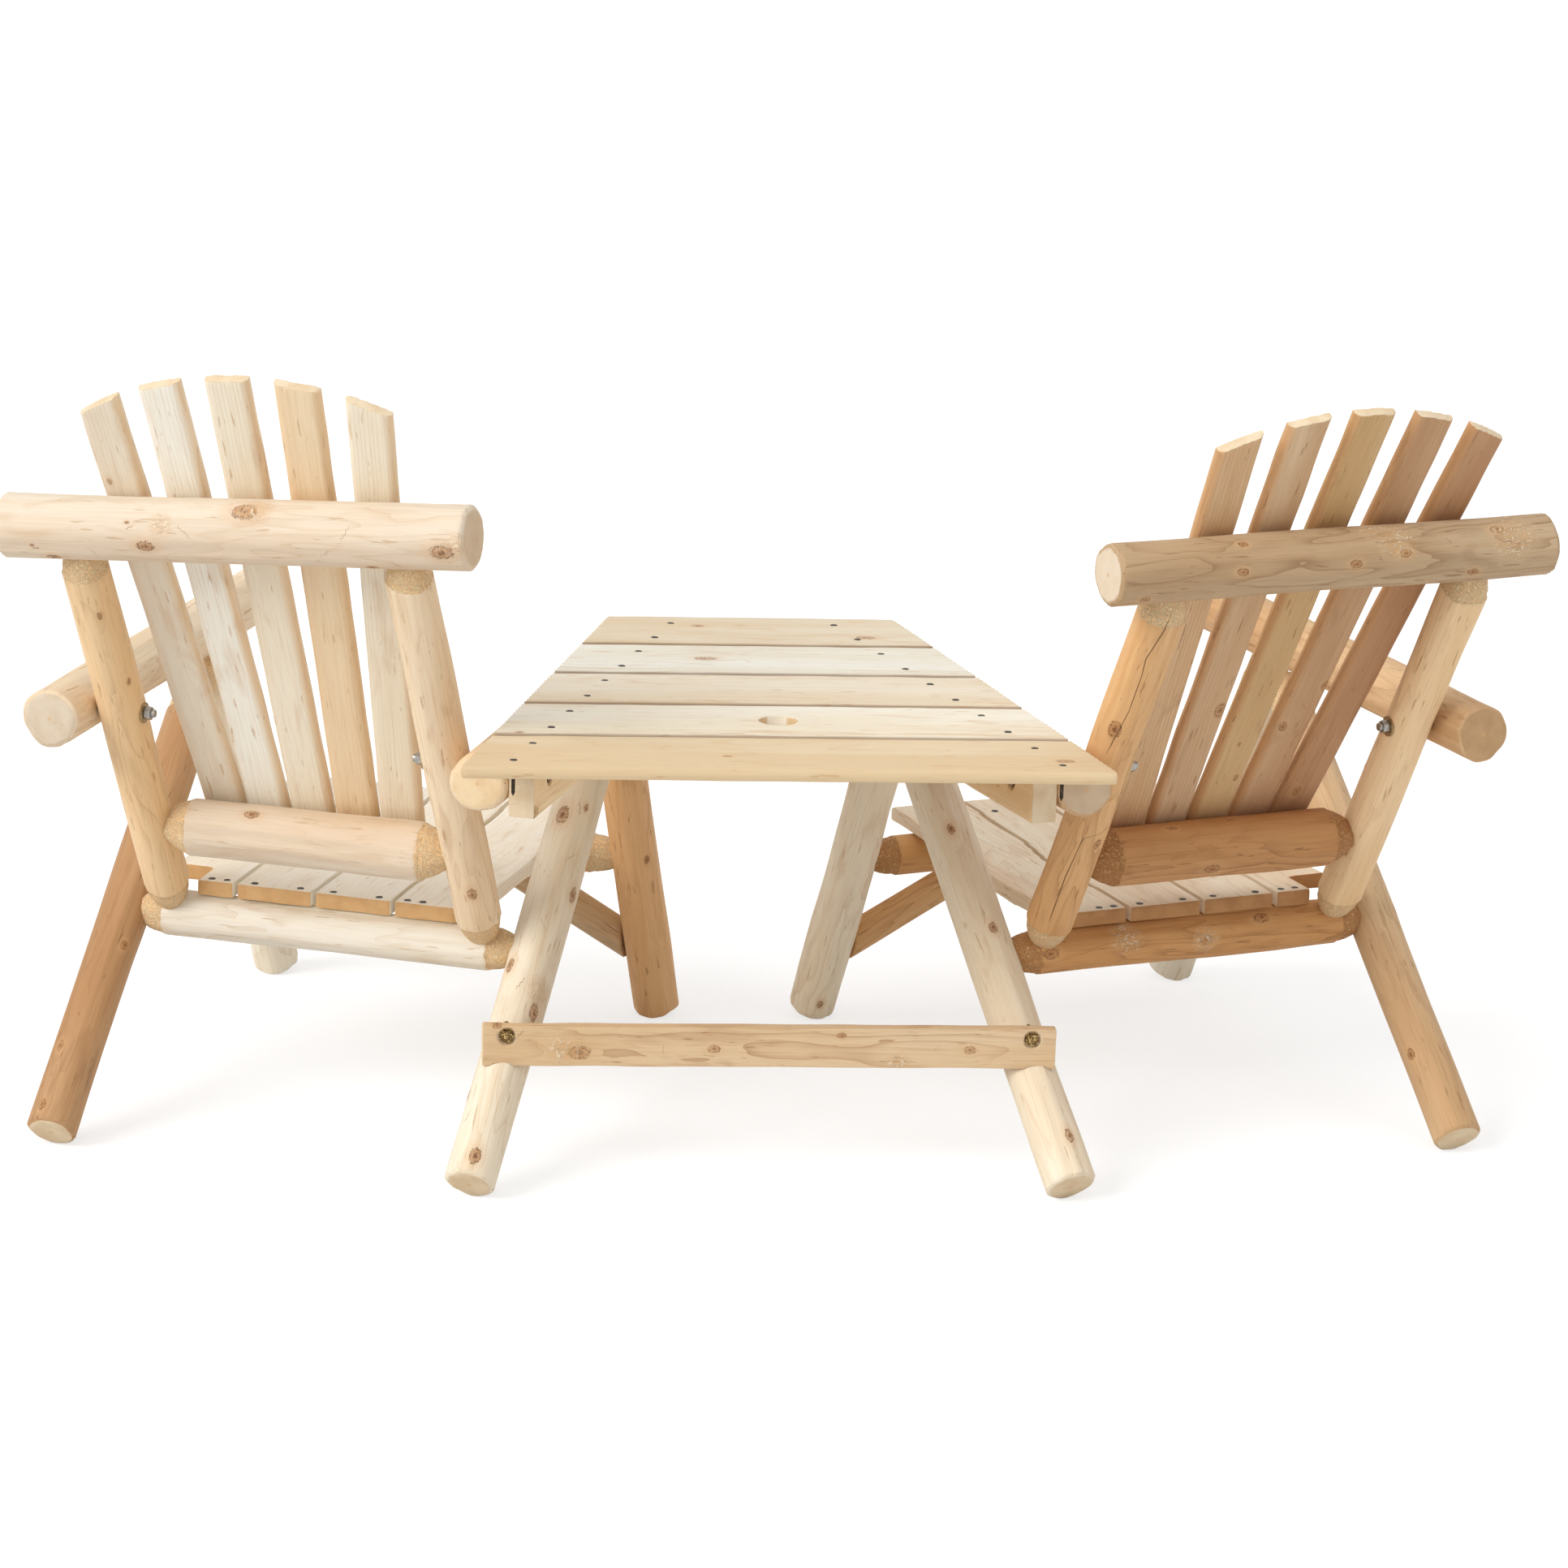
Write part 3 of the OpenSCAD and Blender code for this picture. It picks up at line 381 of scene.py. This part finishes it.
# heights of the draw knife's facets, from the broadest, which come twice in a turn of the log
FACETS = (0.0007,) * 2 + (0.0003,) * 3 + (0.00016,) * 6
BULGE_MOST = 0.0012
PEELED = 0.0004
KNOT_BULGE, BULGE_LENGTH, BULGE_WIDTH = 0.13, 1.5, 1.1
HIDDEN_KNOTS = (0.004, 0.008)
BODY_SLACK = 0.0008
CONE_LEAST = 0.008
CONE_LEN = 0.038
CONE_SWELL = 0.0042
CHIP_DEPTH = 0.0004
CHIP_SIZE = 0.008
NO_CONE = -0.05
CHAMFER = 0.004
LOOKS_AWAY = 0.3


def log(node, radius, material, knots=(), torn=(), cracks=(), half=False, taper=0.0, hidden=2):
    """A peeled log: uneven, faintly faceted by the draw knife, swollen at its knots. The knots on the
    side that the view doesn't show, as many as hidden says, fall where they may."""
    piece, place = copied(node)
    if half:
        flat = points_of(piece.data)[:, 1].min()
        piece.data.transform(Matrix.Translation((0, -flat, 0)))
        place = place @ Matrix.Translation((0, flat, 0))
    evened(piece)
    dice, offset = dice_of(node)
    spots, normals = points_of(piece.data), points_of(piece.data, "normal")
    r = np.hypot(spots[:, 0], spots[:, 1])
    angle = np.arctan2(spots[:, 1], spots[:, 0])
    along = spots[:, 2]
    body = abs(r - radius) < BODY_SLACK
    low, high = along[body].min(), along[body].max()
    cone_low = along.min() < low - CONE_LEAST
    cone_high = along.max() > high + CONE_LEAST
    marks, rough, lines = flaws(spots, normals, place, 1.0, knots, torn, cracks)
    facing = normals @ np.array(place.to_3x3()).T @ np.array(ahead)
    unseen = np.flatnonzero(body & (facing > LOOKS_AWAY))
    for _ in range(hidden):
        marks.append((dice.choice(unseen), dice.uniform(*HIDDEN_KNOTS), dice.uniform(0.6, 1.0)))

    uneven = np.zeros(len(spots))
    for waves, height in enumerate(FACETS, 2):
        swing = dice.uniform(0.6, 1.6) * np.sin(along * dice.uniform(8, 20) + dice.uniform(0, 6))
        uneven += height * np.cos(waves * angle + dice.uniform(0, 6) + swing)
    uneven = np.minimum(uneven, BULGE_MOST) - PEELED
    uneven += taper * np.clip((along - low) / (high - low) - 0.5, -0.5, 0.5)
    for at, size, _ in marks:
        turn = (angle - angle[at] + math.pi) % (2 * math.pi) - math.pi
        near = ((along - along[at]) / size / BULGE_LENGTH) ** 2 + (radius * turn / size / BULGE_WIDTH) ** 2
        uneven += KNOT_BULGE * size * np.exp(-near)

    upper = along > (low + high) / 2
    short = np.where(cone_low & ~upper, low - along, NO_CONE)
    short = np.where(cone_high & upper, along - high, short)
    past = np.maximum((along - high) * cone_high, (low - along) * cone_low)
    past = np.where(past > 0, past, short)
    swell = np.sin(math.pi * np.clip(past / CONE_LEN, 0, 1))
    uneven += CONE_SWELL * swell + CHIP_DEPTH * ripple(spots, CHIP_SIZE, 14, dice) * (swell > 0)
    even_r = np.where(body, radius, r)
    scale = (even_r + uneven * np.clip(even_r / radius, 0, 1)) / np.maximum(r, 1e-6)
    spots[:, :2] *= scale[:, None]
    piece.data.vertices.foreach_set("co", spots.ravel())

    from_top = 1.0 if cone_high else high + CHAMFER - along
    from_foot = 1.0 if cone_low else along - low + CHAMFER
    sawn = np.minimum(from_top, from_foot) * np.ones(len(spots))
    ends = np.stack([sawn, past, torn_grain(spots, rough)], 1)
    around = lambda d: (d + math.pi * radius) % (2 * math.pi * radius) - math.pi * radius
    shift = marked(piece, along, radius * angle, marks, ends, lines, around) / radius
    swung_x = spots[:, 0] * np.cos(shift) - spots[:, 1] * np.sin(shift)
    swung_y = spots[:, 0] * np.sin(shift) + spots[:, 1] * np.cos(shift)
    stored(piece, grain=np.stack([swung_x, swung_y, along + offset], 1))
    settled(piece, place, node, material)


KNOT_BROWN = tint(176, 122, 74)
KNOT_RIM = tint(106, 66, 36)
HALO = tint(218, 172, 120)
CHECK_DARK = tint(84, 56, 34)
# painted shade for the shaded gaps between boards
SEAM_SHADE_BROWN = tint(118, 78, 46)
FLECK = tint(240, 222, 192)
END_PALE, END_WARM = tint(234, 216, 186), tint(216, 186, 146)
CONE_PALE, CONE_DEEP = tint(255, 234, 192), tint(238, 198, 148)
END_RING = 0.0026
CUT_FROM, CUT_TO = 0.0011, 0.0002
# relief of the surface in metres
FIBRE_UP, STREAK_UP, TUFT_UP = 0.00016, 0.00022, 0.0008
CHIP_UP, SAW_UP, SAWN_RING_UP = 0.0011, 0.0002, 0.00005
RING_DOWN, CHECK_DOWN, NICK_DOWN, RIM_DOWN = 0.00010, 0.0018, 0.0003, 0.0004


def cedar(name, pale, warm, line, figure=0.35, heart=None, heart_r=0.05, ring=0.0034, wobble=0.024,
          end_pale=END_PALE, end_warm=END_WARM, cone_pale=CONE_PALE, cone_deep=CONE_DEEP):
    """White cedar. Its growth rings are shells round the pith, so they curve over a peeled log,
    run straight along a sawn board and circle on a sawn end."""
    wood = bpy.data.materials.new(name)
    wood.use_nodes = True
    wood.node_tree.nodes.clear()
    tree = Flow(wood.node_tree)
    grain, knot, ends, crack = (
        tree.node("ShaderNodeAttribute", {}, output="Vector", attribute_name=layer)
        for layer in ("grain", "knot", "ends", "crack")
    )
    parts = lambda vector: [tree.node("ShaderNodeSeparateXYZ", {0: vector}, output=i) for i in range(3)]
    x, y, _ = parts(grain)
    u, v, strength = parts(knot)
    sawn_far, past, fuzz = parts(ends)
    off, open_share, seam_shade = parts(crack)
    shell = (x * x + y * y) ** 0.5

    sway = (grain.spread(20, 20, 3.4).noise(2.5, 0.3) - 0.5) * wobble
    rings = tree.math("FRACT", (shell + sway) / ring)
    late = (rings ** 5) * grain.spread(9, 9, 1.7).noise(2).step(0.40, 0.62)
    broad = grain.spread(13, 13, 2.0).noise(3).step(0.30, 0.72)
    streaks = grain.spread(130, 130, 3.6).noise(3).step(0.42, 0.74)
    fibre = grain.spread(620, 620, 14).noise(2)
    colour = broad.between(pale, warm)
    if heart:
        core = (shell + sway * 0.9).step(heart_r + 0.006, heart_r - 0.006)
        colour = core.between(colour, heart)
    colour = (streaks * 0.45).between(colour, warm)
    colour = (late * figure).between(colour, line)
    colour = (fibre.step(0.46, 0.78) * 0.26).between(colour, line)
    stain = grain.spread(38, 38, 9).noise(4, 0.8).step(0.55, 0.72)
    colour = (stain * 0.30).between(colour, line)
    nick = grain.spread(210, 210, 24).noise(3).step(0.655, 0.70)
    colour = (nick * 0.60).between(colour, line)

    jitter = grain.spread(330, 330, 330).noise(2) * 0.9 - 0.45
    out = ((0.62 * u) ** 2.0 + v ** 2.0) ** 0.5 + jitter
    patchy = grain.spread(520, 520, 520).noise(2).step(0.36, 0.62)
    halo = (1.0 - out.step(0.8, 2.8)) * strength
    core = (1.0 - out.step(0.70, 1.10)) * strength
    rim = (1.0 - abs(out - 0.94).step(0.04, 0.24)) * strength
    eye = (1.0 - out.step(0.12, 0.62)) * strength
    colour = (halo * 0.34).between(colour, HALO)
    colour = (core * (0.44 + 0.30 * patchy)).between(colour, KNOT_BROWN)
    colour = (rim * (0.16 + 0.64 * patchy)).between(colour, KNOT_RIM)
    colour = (eye * (0.50 + 0.34 * patchy)).between(colour, KNOT_RIM)

    tuft = grain.spread(250, 250, 120).noise(2, 1.6)
    tuft = fuzz * tuft.step(0.50, 0.62)
    colour = (tuft * 0.62).between((fuzz * 0.35).between(colour, HALO), FLECK)

    worm = 1.0 - abs(grain.spread(300, 300, 300).noise(1.5, 0.9) - 0.5).step(0.0, 0.085)
    # Painted shade: a board's top darkens along edges that lie close to the next board, where the gap is
    # in shade.
    colour = (seam_shade * 0.72).between(colour, SEAM_SHADE_BROWN)
    cone = (past + (grain.spread(120, 120, 120).noise(2) - 0.5) * 0.007).step(-0.0004, 0.0006)
    rough_cut = worm.between(cone_deep, cone_pale)
    rough_cut = (grain.spread(60, 60, 60).noise(2).step(0.45, 0.75) * 0.4).between(rough_cut, cone_deep)
    colour = cone.between(colour, rough_cut)

    ring_ends = tree.math("SINE", (shell + sway * 0.12) * (2 * math.pi / END_RING)) * 0.5 + 0.5
    cut_face = sawn_far.step(CUT_FROM, CUT_TO)
    end_colour = (grain.spread(40, 40, 40).noise(2).step(0.35, 0.7) * 0.55).between(end_pale, end_warm)
    end_colour = (ring_ends * 0.22).between(end_colour, end_warm)
    end_colour = (shell.step(0.004, 0.001) * 0.6).between(end_colour, HALO)
    colour = cut_face.between(colour, end_colour)

    width = grain.spread(30, 30, 26).noise(2) * 0.0011 * open_share + 0.0002
    gap = open_share.step(0.0, 0.12) * (1.0 - (abs(off) / width).step(0.55, 1.0))
    colour = (gap * 0.75).between(colour, CHECK_DARK)

    height = fibre * FIBRE_UP + streaks * STREAK_UP - late * RING_DOWN + tuft * TUFT_UP
    height = height - gap * CHECK_DOWN - nick * NICK_DOWN + cone * worm * CHIP_UP - rim * RIM_DOWN
    height = height + cut_face * (fibre * SAW_UP + ring_ends * SAWN_RING_UP)
    bump = tree.node("ShaderNodeBump", {"Height": height, "Distance": 1.0, "Strength": 0.9})
    rough = 0.56 + 0.14 * fibre + 0.10 * cone + 0.08 * cut_face
    skin = tree.node("ShaderNodeBsdfPrincipled", {
        "Base Color": colour, "Roughness": rough, "Normal": bump, "Specular IOR Level": 0.32})
    tree.node("ShaderNodeOutputMaterial", {"Surface": skin})
    return wood


PALE_LEG = cedar("pale_leg_cedar", tint(243, 235, 217), tint(234, 217, 189), tint(200, 166, 122))
BROWN_LEG = cedar("brown_leg_cedar", tint(194, 154, 112), tint(176, 130, 86), tint(132, 90, 54))
TAN_LEG = cedar("tan_leg_cedar", tint(218, 188, 149), tint(201, 162, 118), tint(150, 106, 68))
GOLD_LEG = cedar("gold_leg_cedar", tint(240, 198, 148), tint(226, 174, 118), tint(172, 122, 76))
# The right inner front leg's wood is lightened nearly to white, past its own tone, to offset the seat's
# shade on it: painted light.
ROSE_LEG_PAINTED_LIGHT = cedar("rose_leg_painted_light_cedar", tint(253, 246, 226), tint(250, 234, 206), tint(208, 170, 130))
log("left_outer_rear_leg", LEG_R, BROWN_LEG,
    knots={(53, 1361): 0.006, (75, 1289): 0.006, (153, 1165): 0.005})
log("left_inner_rear_leg", LEG_R, PALE_LEG,
    knots={(586, 1423): 0.0085, (658, 1247): 0.009, (707, 1102): 0.008, (693, 1003): 0.010,
           (722, 996): 0.004, (628, 1189): 0.008, (574, 1349): 0.006},
    torn={(666, 1222): 0.018})
log("left_inner_front_leg", LEG_R, GOLD_LEG, knots={(797, 1059): 0.005})
log("left_outer_front_leg", LEG_R, PALE_LEG)
log("right_outer_rear_leg", LEG_R, TAN_LEG, knots={(1740, 1300): 0.006, (1704, 1128): 0.007})
log("right_inner_rear_leg", LEG_R, PALE_LEG,
    knots={(1172, 1020): 0.006, (1318, 1398): 0.007, (1224, 1143): 0.006})
log("right_inner_front_leg", LEG_R, ROSE_LEG_PAINTED_LIGHT, knots={(1010, 1237): 0.005})
log("right_outer_front_leg", LEG_R, PALE_LEG)

# Arms. Level logs 71 mm thick, sawn square at both ends with a thin chamfer. Each is bolted to its
# back post, and the table's cleats are held to the inner ones by lag bolts.
ARM_R = 0.0355
PALE_ARM = cedar("pale_arm_cedar", tint(240, 219, 188), tint(229, 197, 156), tint(190, 148, 102),
                 end_pale=tint(238, 214, 176), end_warm=tint(222, 188, 142))
GREY_ARM = cedar("grey_arm_cedar", tint(238, 220, 192), tint(227, 199, 162), tint(190, 150, 106),
                 end_pale=tint(222, 206, 184), end_warm=tint(206, 184, 154))
TAN_ARM = cedar("tan_arm_cedar", tint(220, 186, 144), tint(202, 159, 113), tint(156, 110, 70),
                end_pale=tint(198, 162, 120), end_warm=tint(178, 142, 100))
DULL_ARM = cedar("dull_arm_cedar", tint(224, 192, 152), tint(206, 166, 122), tint(156, 112, 74),
                 end_pale=tint(216, 192, 162), end_warm=tint(198, 170, 138))
log("left_outer_arm", ARM_R, GREY_ARM, knots={(213, 825): 0.009})
log("left_inner_arm", ARM_R, PALE_ARM)
log("right_outer_arm", ARM_R, TAN_ARM)
log("right_inner_arm", ARM_R, DULL_ARM)

# Back posts. Logs 58 mm thick that lean back and taper like pencils at both ends, where they are
# tenoned into the rear seat rail and the top rail. The right chair's inner post has two long checks.
POST_R = 0.029
SAND_POST = cedar("sand_post_cedar", tint(246, 216, 174), tint(236, 198, 148), tint(184, 136, 88),
                  figure=0.5)
GOLD_POST = cedar("gold_post_cedar", tint(230, 188, 137), tint(217, 166, 111), tint(164, 112, 66),
                  figure=0.5)
CREAM_POST = cedar("cream_post_cedar", tint(246, 226, 196), tint(234, 204, 166), tint(186, 144, 100))
log("left_outer_post", POST_R, SAND_POST, knots={(122, 758): 0.004, (160, 840): 0.004})
log("left_inner_post", POST_R, CREAM_POST, knots={(581, 1102): 0.007})
log("right_inner_post", POST_R, GOLD_POST, knots={(1352, 1041): 0.006, (1372, 900): 0.010},
    cracks=[[(1445, 752), (1413, 813), (1408, 834), (1390, 878), (1362, 932)],
            [(1400, 920), (1385, 960), (1367, 1015), (1334, 1034), (1312, 1080), (1291, 1138)]])
log("right_outer_post", POST_R, SAND_POST, knots={(1657, 1050): 0.004, (1678, 940): 0.003})

# Rails of the backs. The top rails are 75 mm logs sawn square; the lower ones have rough cones and
# tenons that go into the posts.
TOP_RAIL_R = 0.0375
LOWER_RAIL_R = 0.036
# Its sawn ends are coloured darker than its sides: painted shade for the left top rail's inner end, which
# faces away from the light.
CREAM_RAIL_PAINTED_SHADE = cedar("cream_rail_painted_shade_cedar", tint(230, 216, 196), tint(224, 202, 176), tint(200, 166, 126),
                   end_pale=tint(206, 178, 142), end_warm=tint(184, 152, 114))
# Its sawn ends are coloured far paler than its sides: painted light for the right top rail's end, which
# faces the light.
FIGURED_RAIL_PAINTED_LIGHT = cedar("figured_rail_painted_light_cedar", tint(200, 175, 142), tint(184, 152, 115), tint(140, 104, 68),
                     figure=0.62, end_pale=tint(250, 240, 222), end_warm=tint(240, 224, 198))
log("left_top_rail", TOP_RAIL_R, CREAM_RAIL_PAINTED_SHADE,
    knots={(178, 673): 0.0085, (302, 631): 0.012, (543, 681): 0.011, (459, 698): 0.006, (66, 686): 0.007,
           (156, 644): 0.0022, (39, 671): 0.0022},
    torn={(196, 646): 0.014, (318, 628): 0.018, (562, 672): 0.012})
log("right_top_rail", TOP_RAIL_R, FIGURED_RAIL_PAINTED_LIGHT,
    knots={(1532, 672): 0.0045, (1532, 705): 0.0055, (1731, 682): 0.006, (1671, 696): 0.006,
           (1814, 705): 0.0055, (1844, 652): 0.007, (1411, 740): 0.005},
    torn={(1721, 663): 0.024, (1866, 659): 0.028, (1690, 655): 0.014})
log("left_lower_back_rail", LOWER_RAIL_R, CREAM_RAIL_PAINTED_SHADE, knots={(309, 1004): 0.007})
AMBER_RAIL = cedar("amber_rail_cedar", tint(197, 146, 95), tint(180, 125, 75), tint(132, 86, 48),
                   figure=0.75, cone_pale=tint(226, 176, 118), cone_deep=tint(168, 114, 66))
log("right_lower_back_rail", LOWER_RAIL_R, AMBER_RAIL,
    knots={(1444, 1019): 0.0055, (1494, 1071): 0.008})

# Rails and braces under the seats. The rails' tenons go into the legs, and each front rail is stayed
# by two knee braces, half logs that are screwed on.
REAR_RAIL_R = 0.029
FRONT_RAIL_R = 0.027
BRACE_R = 0.027
WHITE_RAIL = cedar("white_rail_cedar", tint(240, 233, 219), tint(234, 220, 197), tint(206, 174, 134))
HONEY_RAIL = cedar("honey_rail_cedar", tint(218, 168, 112), tint(202, 147, 90), tint(150, 100, 56),
                   figure=0.6, cone_pale=tint(232, 184, 128), cone_deep=tint(184, 130, 80))
log("left_rear_seat_rail", REAR_RAIL_R, WHITE_RAIL, taper=0.001)
log("right_rear_seat_rail", REAR_RAIL_R, HONEY_RAIL,
    knots={(1297, 1175): 0.008, (1486, 1158): 0.007, (1554, 1130): 0.008},
    torn={(1389, 1152): 0.020, (1486, 1158): 0.016})
log("left_front_seat_rail", FRONT_RAIL_R, GOLD_LEG)
log("right_front_seat_rail", FRONT_RAIL_R, HONEY_RAIL)
for side, wood, slot in (("left", TAN_LEG, "pale_cedar"), ("right", GOLD_POST, "tan_cedar")):
    for where in ("inner", "outer"):
        log(f"{side}_{where}_brace", BRACE_R, wood, half=True, hidden=1)

# Back slats. Slabs sawn from the sides of small logs, wide face to the sitter, with waney bevels
# along the rear edges. They fan out over the two rails of the back, are screwed to them, and their
# tops are sawn to one arch.
BOARD_WARP = 0.00035
WARP_SIZE = 0.09
BOARD_KNOTS = 0.8
END_FACING = 0.55
END_FADE = 0.004
END_LINE = 0.0006
# how far in from a board's long edge its painted seam shade reaches
SEAM_SHADE_WIDTH = 0.006


def plank(node, material, pith, knots=(), torn=(), warp=BOARD_WARP, size=VOXEL, seam_shading=(0, 0)):
    """A sawn board. Its pith lies off to one side, at (width, thickness) from its middle. Seam shading
    is painted shade along its front and rear edges, where it lies close to the next board and the gap is
    shaded."""
    piece, place = copied(node)
    evened(piece, size)
    dice, offset = dice_of(node)
    spots, normals = points_of(piece.data), points_of(piece.data, "normal")
    marks, rough, lines = flaws(spots, normals, place, BOARD_KNOTS, knots, torn)
    spots += normals * (warp * (ripple(spots, WARP_SIZE, 12, dice) - 1))[:, None]
    piece.data.vertices.foreach_set("co", spots.ravel())
    across_it, through_it, along = spots.T
    sawn = (END_FACING - abs(normals[:, 2])) * END_FADE + END_LINE
    ends = np.stack([sawn, np.full(len(spots), NO_CONE), torn_grain(spots, rough)], 1)
    behind = (spots @ np.array(place.to_3x3()).T)[:, 1] > 0
    inward = abs(across_it).max() - abs(across_it)
    # Painted shade along the long edges that meet a neighbouring board.
    painted_seam_shade = np.where(behind, seam_shading[1], seam_shading[0]) * np.clip(1 - inward / SEAM_SHADE_WIDTH, 0, 1)
    shift = marked(piece, along, across_it, marks, ends, lines, lambda d: d, painted_seam_shade)
    stored(piece, grain=np.stack([across_it - pith[0] + shift, through_it - pith[1], along + offset], 1))
    settled(piece, place, node, material)


slat_woods = {
    "left_back_slat_1": (tint(249, 241, 222), tint(244, 230, 204)),
    "left_back_slat_2": (tint(245, 222, 187), tint(236, 204, 162)),
    "left_back_slat_3": (tint(247, 237, 216), tint(241, 224, 196)),
    "left_back_slat_4": (tint(251, 247, 234), tint(247, 237, 219)),
    "left_back_slat_5": (tint(241, 232, 214), tint(233, 217, 193)),
    "right_back_slat_1": (tint(229, 197, 158), tint(213, 173, 128)),
    "right_back_slat_2": (tint(222, 194, 158), tint(206, 168, 128)),
    "right_back_slat_3": (tint(222, 192, 146), tint(206, 168, 118)),
    "right_back_slat_4": (tint(206, 168, 130), tint(188, 144, 104)),
    "right_back_slat_5": (tint(200, 158, 120), tint(180, 132, 92)),
}
slat_knots = {
    "left_back_slat_5": {(134, 594): 0.004},
    "right_back_slat_2": {(1505, 875): 0.009},
    "right_back_slat_3": {(1522, 959): 0.004, (1528, 918): 0.003},
    "right_back_slat_4": {(1580, 895): 0.006, (1632, 846): 0.006},
    "right_back_slat_5": {(1597, 974): 0.006},
}
for node, (pale, warm) in slat_woods.items():
    left = node.startswith("left")
    pith = (-0.034 if left else 0.034, 0.006)
    wood = cedar(node + "_cedar", pale, warm, tint(206, 166, 122) if left else tint(158, 114, 76),
                 heart=tint(236, 204, 162) if left else tint(206, 156, 106), heart_r=0.012, ring=0.0050,
                 wobble=0.010)
    plank(node, wood, pith, knots=slat_knots.get(node, {}))

# Seat slats. Four boards a seat, laid from rail to rail and hollowed between them for the sitter.
# Their sawn rear ends show the rings and are darker than their faces.
SEAT_LEFT = cedar("left_seat_cedar", tint(253, 248, 236), tint(249, 238, 218), tint(220, 190, 152),
                  heart=tint(246, 226, 196), heart_r=0.030, ring=0.0045,
                  end_pale=tint(226, 184, 130), end_warm=tint(204, 156, 102))
SEAT_RIGHT = cedar("right_seat_cedar", tint(249, 238, 216), tint(240, 216, 186), tint(202, 164, 122),
                   heart=tint(224, 188, 150), heart_r=0.030, ring=0.0045,
                   end_pale=tint(196, 148, 98), end_warm=tint(168, 118, 72))
for number in range(1, 5):
    plank(f"left_seat_slat_{number}", SEAT_LEFT, pith=(0.006 * number - 0.015, -0.045))
    plank(f"right_seat_slat_{number}", SEAT_RIGHT, pith=(0.012 - 0.006 * number, -0.045))

# Table. Five planed boards side by side on the inner arms, screwed down into two cleats, with their
# ends sawn to the arms' lines. The umbrella hole is bored through the second board from the rear.
TABLE_WARP = 0.0002
TABLE_VOXEL = VOXEL * 1.15
board_woods = {
    "table_board_1": (tint(230, 213, 182), tint(221, 196, 157), {(1313, 938): 0.008, (897, 932): 0.004}),
    "table_board_2": (tint(244, 239, 225), tint(237, 225, 201), {(640, 902): 0.004}),
    "table_board_3": (tint(237, 228, 210), tint(229, 212, 184), {}),
    "table_board_4": (tint(238, 236, 225), tint(230, 223, 205), {(868, 811): 0.010}),
    "table_board_5": (tint(227, 216, 194), tint(217, 197, 165), {(860, 771): 0.006, (1068, 785): 0.009}),
}
for number, (node, (pale, warm, knots)) in enumerate(board_woods.items()):
    pith = (0.050 + 0.008 * number, -0.040 - 0.006 * number)
    wood = cedar(node + "_cedar", pale, warm, tint(206, 164, 118), figure=0.45, heart=warm,
                 heart_r=0.070, ring=0.0060, wobble=0.012, end_pale=tint(222, 190, 146))
    # Every board gets painted shade along its front edge, and along its rear edge too unless it is the
    # rearmost.
    plank(node, wood, pith, knots, warp=TABLE_WARP, size=TABLE_VOXEL,
          seam_shading=(1.0, 0.0 if number == 0 else 1.0))
PALE_CLEAT = cedar("pale_cleat_cedar", tint(254, 236, 198), tint(248, 220, 176), tint(198, 154, 106),
                   heart=tint(228, 178, 126), heart_r=0.012)
TAN_CLEAT = cedar("tan_cleat_cedar", tint(238, 207, 162), tint(226, 185, 134), tint(184, 138, 92))
plank("left_table_cleat", PALE_CLEAT, pith=(0.020, 0.030), knots={(656, 1003): 0.010})
plank("right_table_cleat", TAN_CLEAT, pith=(-0.030, -0.050))

# Stretcher. One board on edge across the inner rear legs, held by a lag bolt in a round recess at each
# end. Its face was sawn close to the bark and shows wavy rings.
STRETCHER_WOOD = cedar("stretcher_cedar", tint(229, 204, 168), tint(217, 184, 142), tint(168, 122, 80),
                       figure=0.6, ring=0.0040, wobble=0.020)
plank("rear_stretcher", STRETCHER_WOOD, pith=(0.004, -0.042),
      knots={(715, 1298): 0.010, (879, 1293): 0.006, (1195, 1293): 0.006, (613, 1263): 0.004,
             (1038, 1275): 0.004},
      torn={(693, 1295): 0.018, (1105, 1310): 0.014})

# Fasteners. Zinc-plated bolts and nuts on yellow washers, dark steel screws in the boards, and lag
# bolts with a bronze coat that is worn bright in patches.
WEAR_FADE = 0.16
DENT_DEPTH = 0.00012
GRIT_DEPTH = 0.00004


def metal(name, base, worn, roughness, wear):
    coat = bpy.data.materials.new(name)
    coat.use_nodes = True
    coat.node_tree.nodes.clear()
    tree = Flow(coat.node_tree)
    place = tree.node("ShaderNodeTexCoord", {}, output="Object")
    patch = place.spread(420, 420, 420).noise(3)
    fine = place.spread(2600, 2600, 2600).noise(2)
    rub = patch.step(wear, wear + WEAR_FADE)
    height = patch * DENT_DEPTH + fine * GRIT_DEPTH
    bump = tree.node("ShaderNodeBump", {"Height": height, "Distance": 1.0, "Strength": 0.7})
    skin = tree.node("ShaderNodeBsdfPrincipled", {
        "Base Color": rub.between(base, worn), "Metallic": 1.0,
        "Roughness": roughness + 0.16 * fine, "Normal": bump})
    tree.node("ShaderNodeOutputMaterial", {"Surface": skin})
    return coat


ZINC = metal("zinc_coat", tint(168, 164, 158), tint(200, 197, 190), 0.36, 0.52)
YELLOW_ZINC = metal("yellow_zinc", tint(172, 148, 108), tint(202, 184, 148), 0.40, 0.52)
DARK_STEEL = metal("dark_steel", tint(62, 54, 46), tint(104, 92, 78), 0.42, 0.56)
BRONZE = metal("bronze_coat", tint(112, 88, 56), tint(214, 184, 126), 0.34, 0.50)
coats = {"arm_bolts": ZINC, "arm_nuts": ZINC, "arm_washers": YELLOW_ZINC,
         "slat_screws": DARK_STEEL, "table_screws": DARK_STEEL, "lag_bolts": BRONZE}
for node, coat in coats.items():
    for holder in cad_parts[node].material_slots:
        holder.material = coat
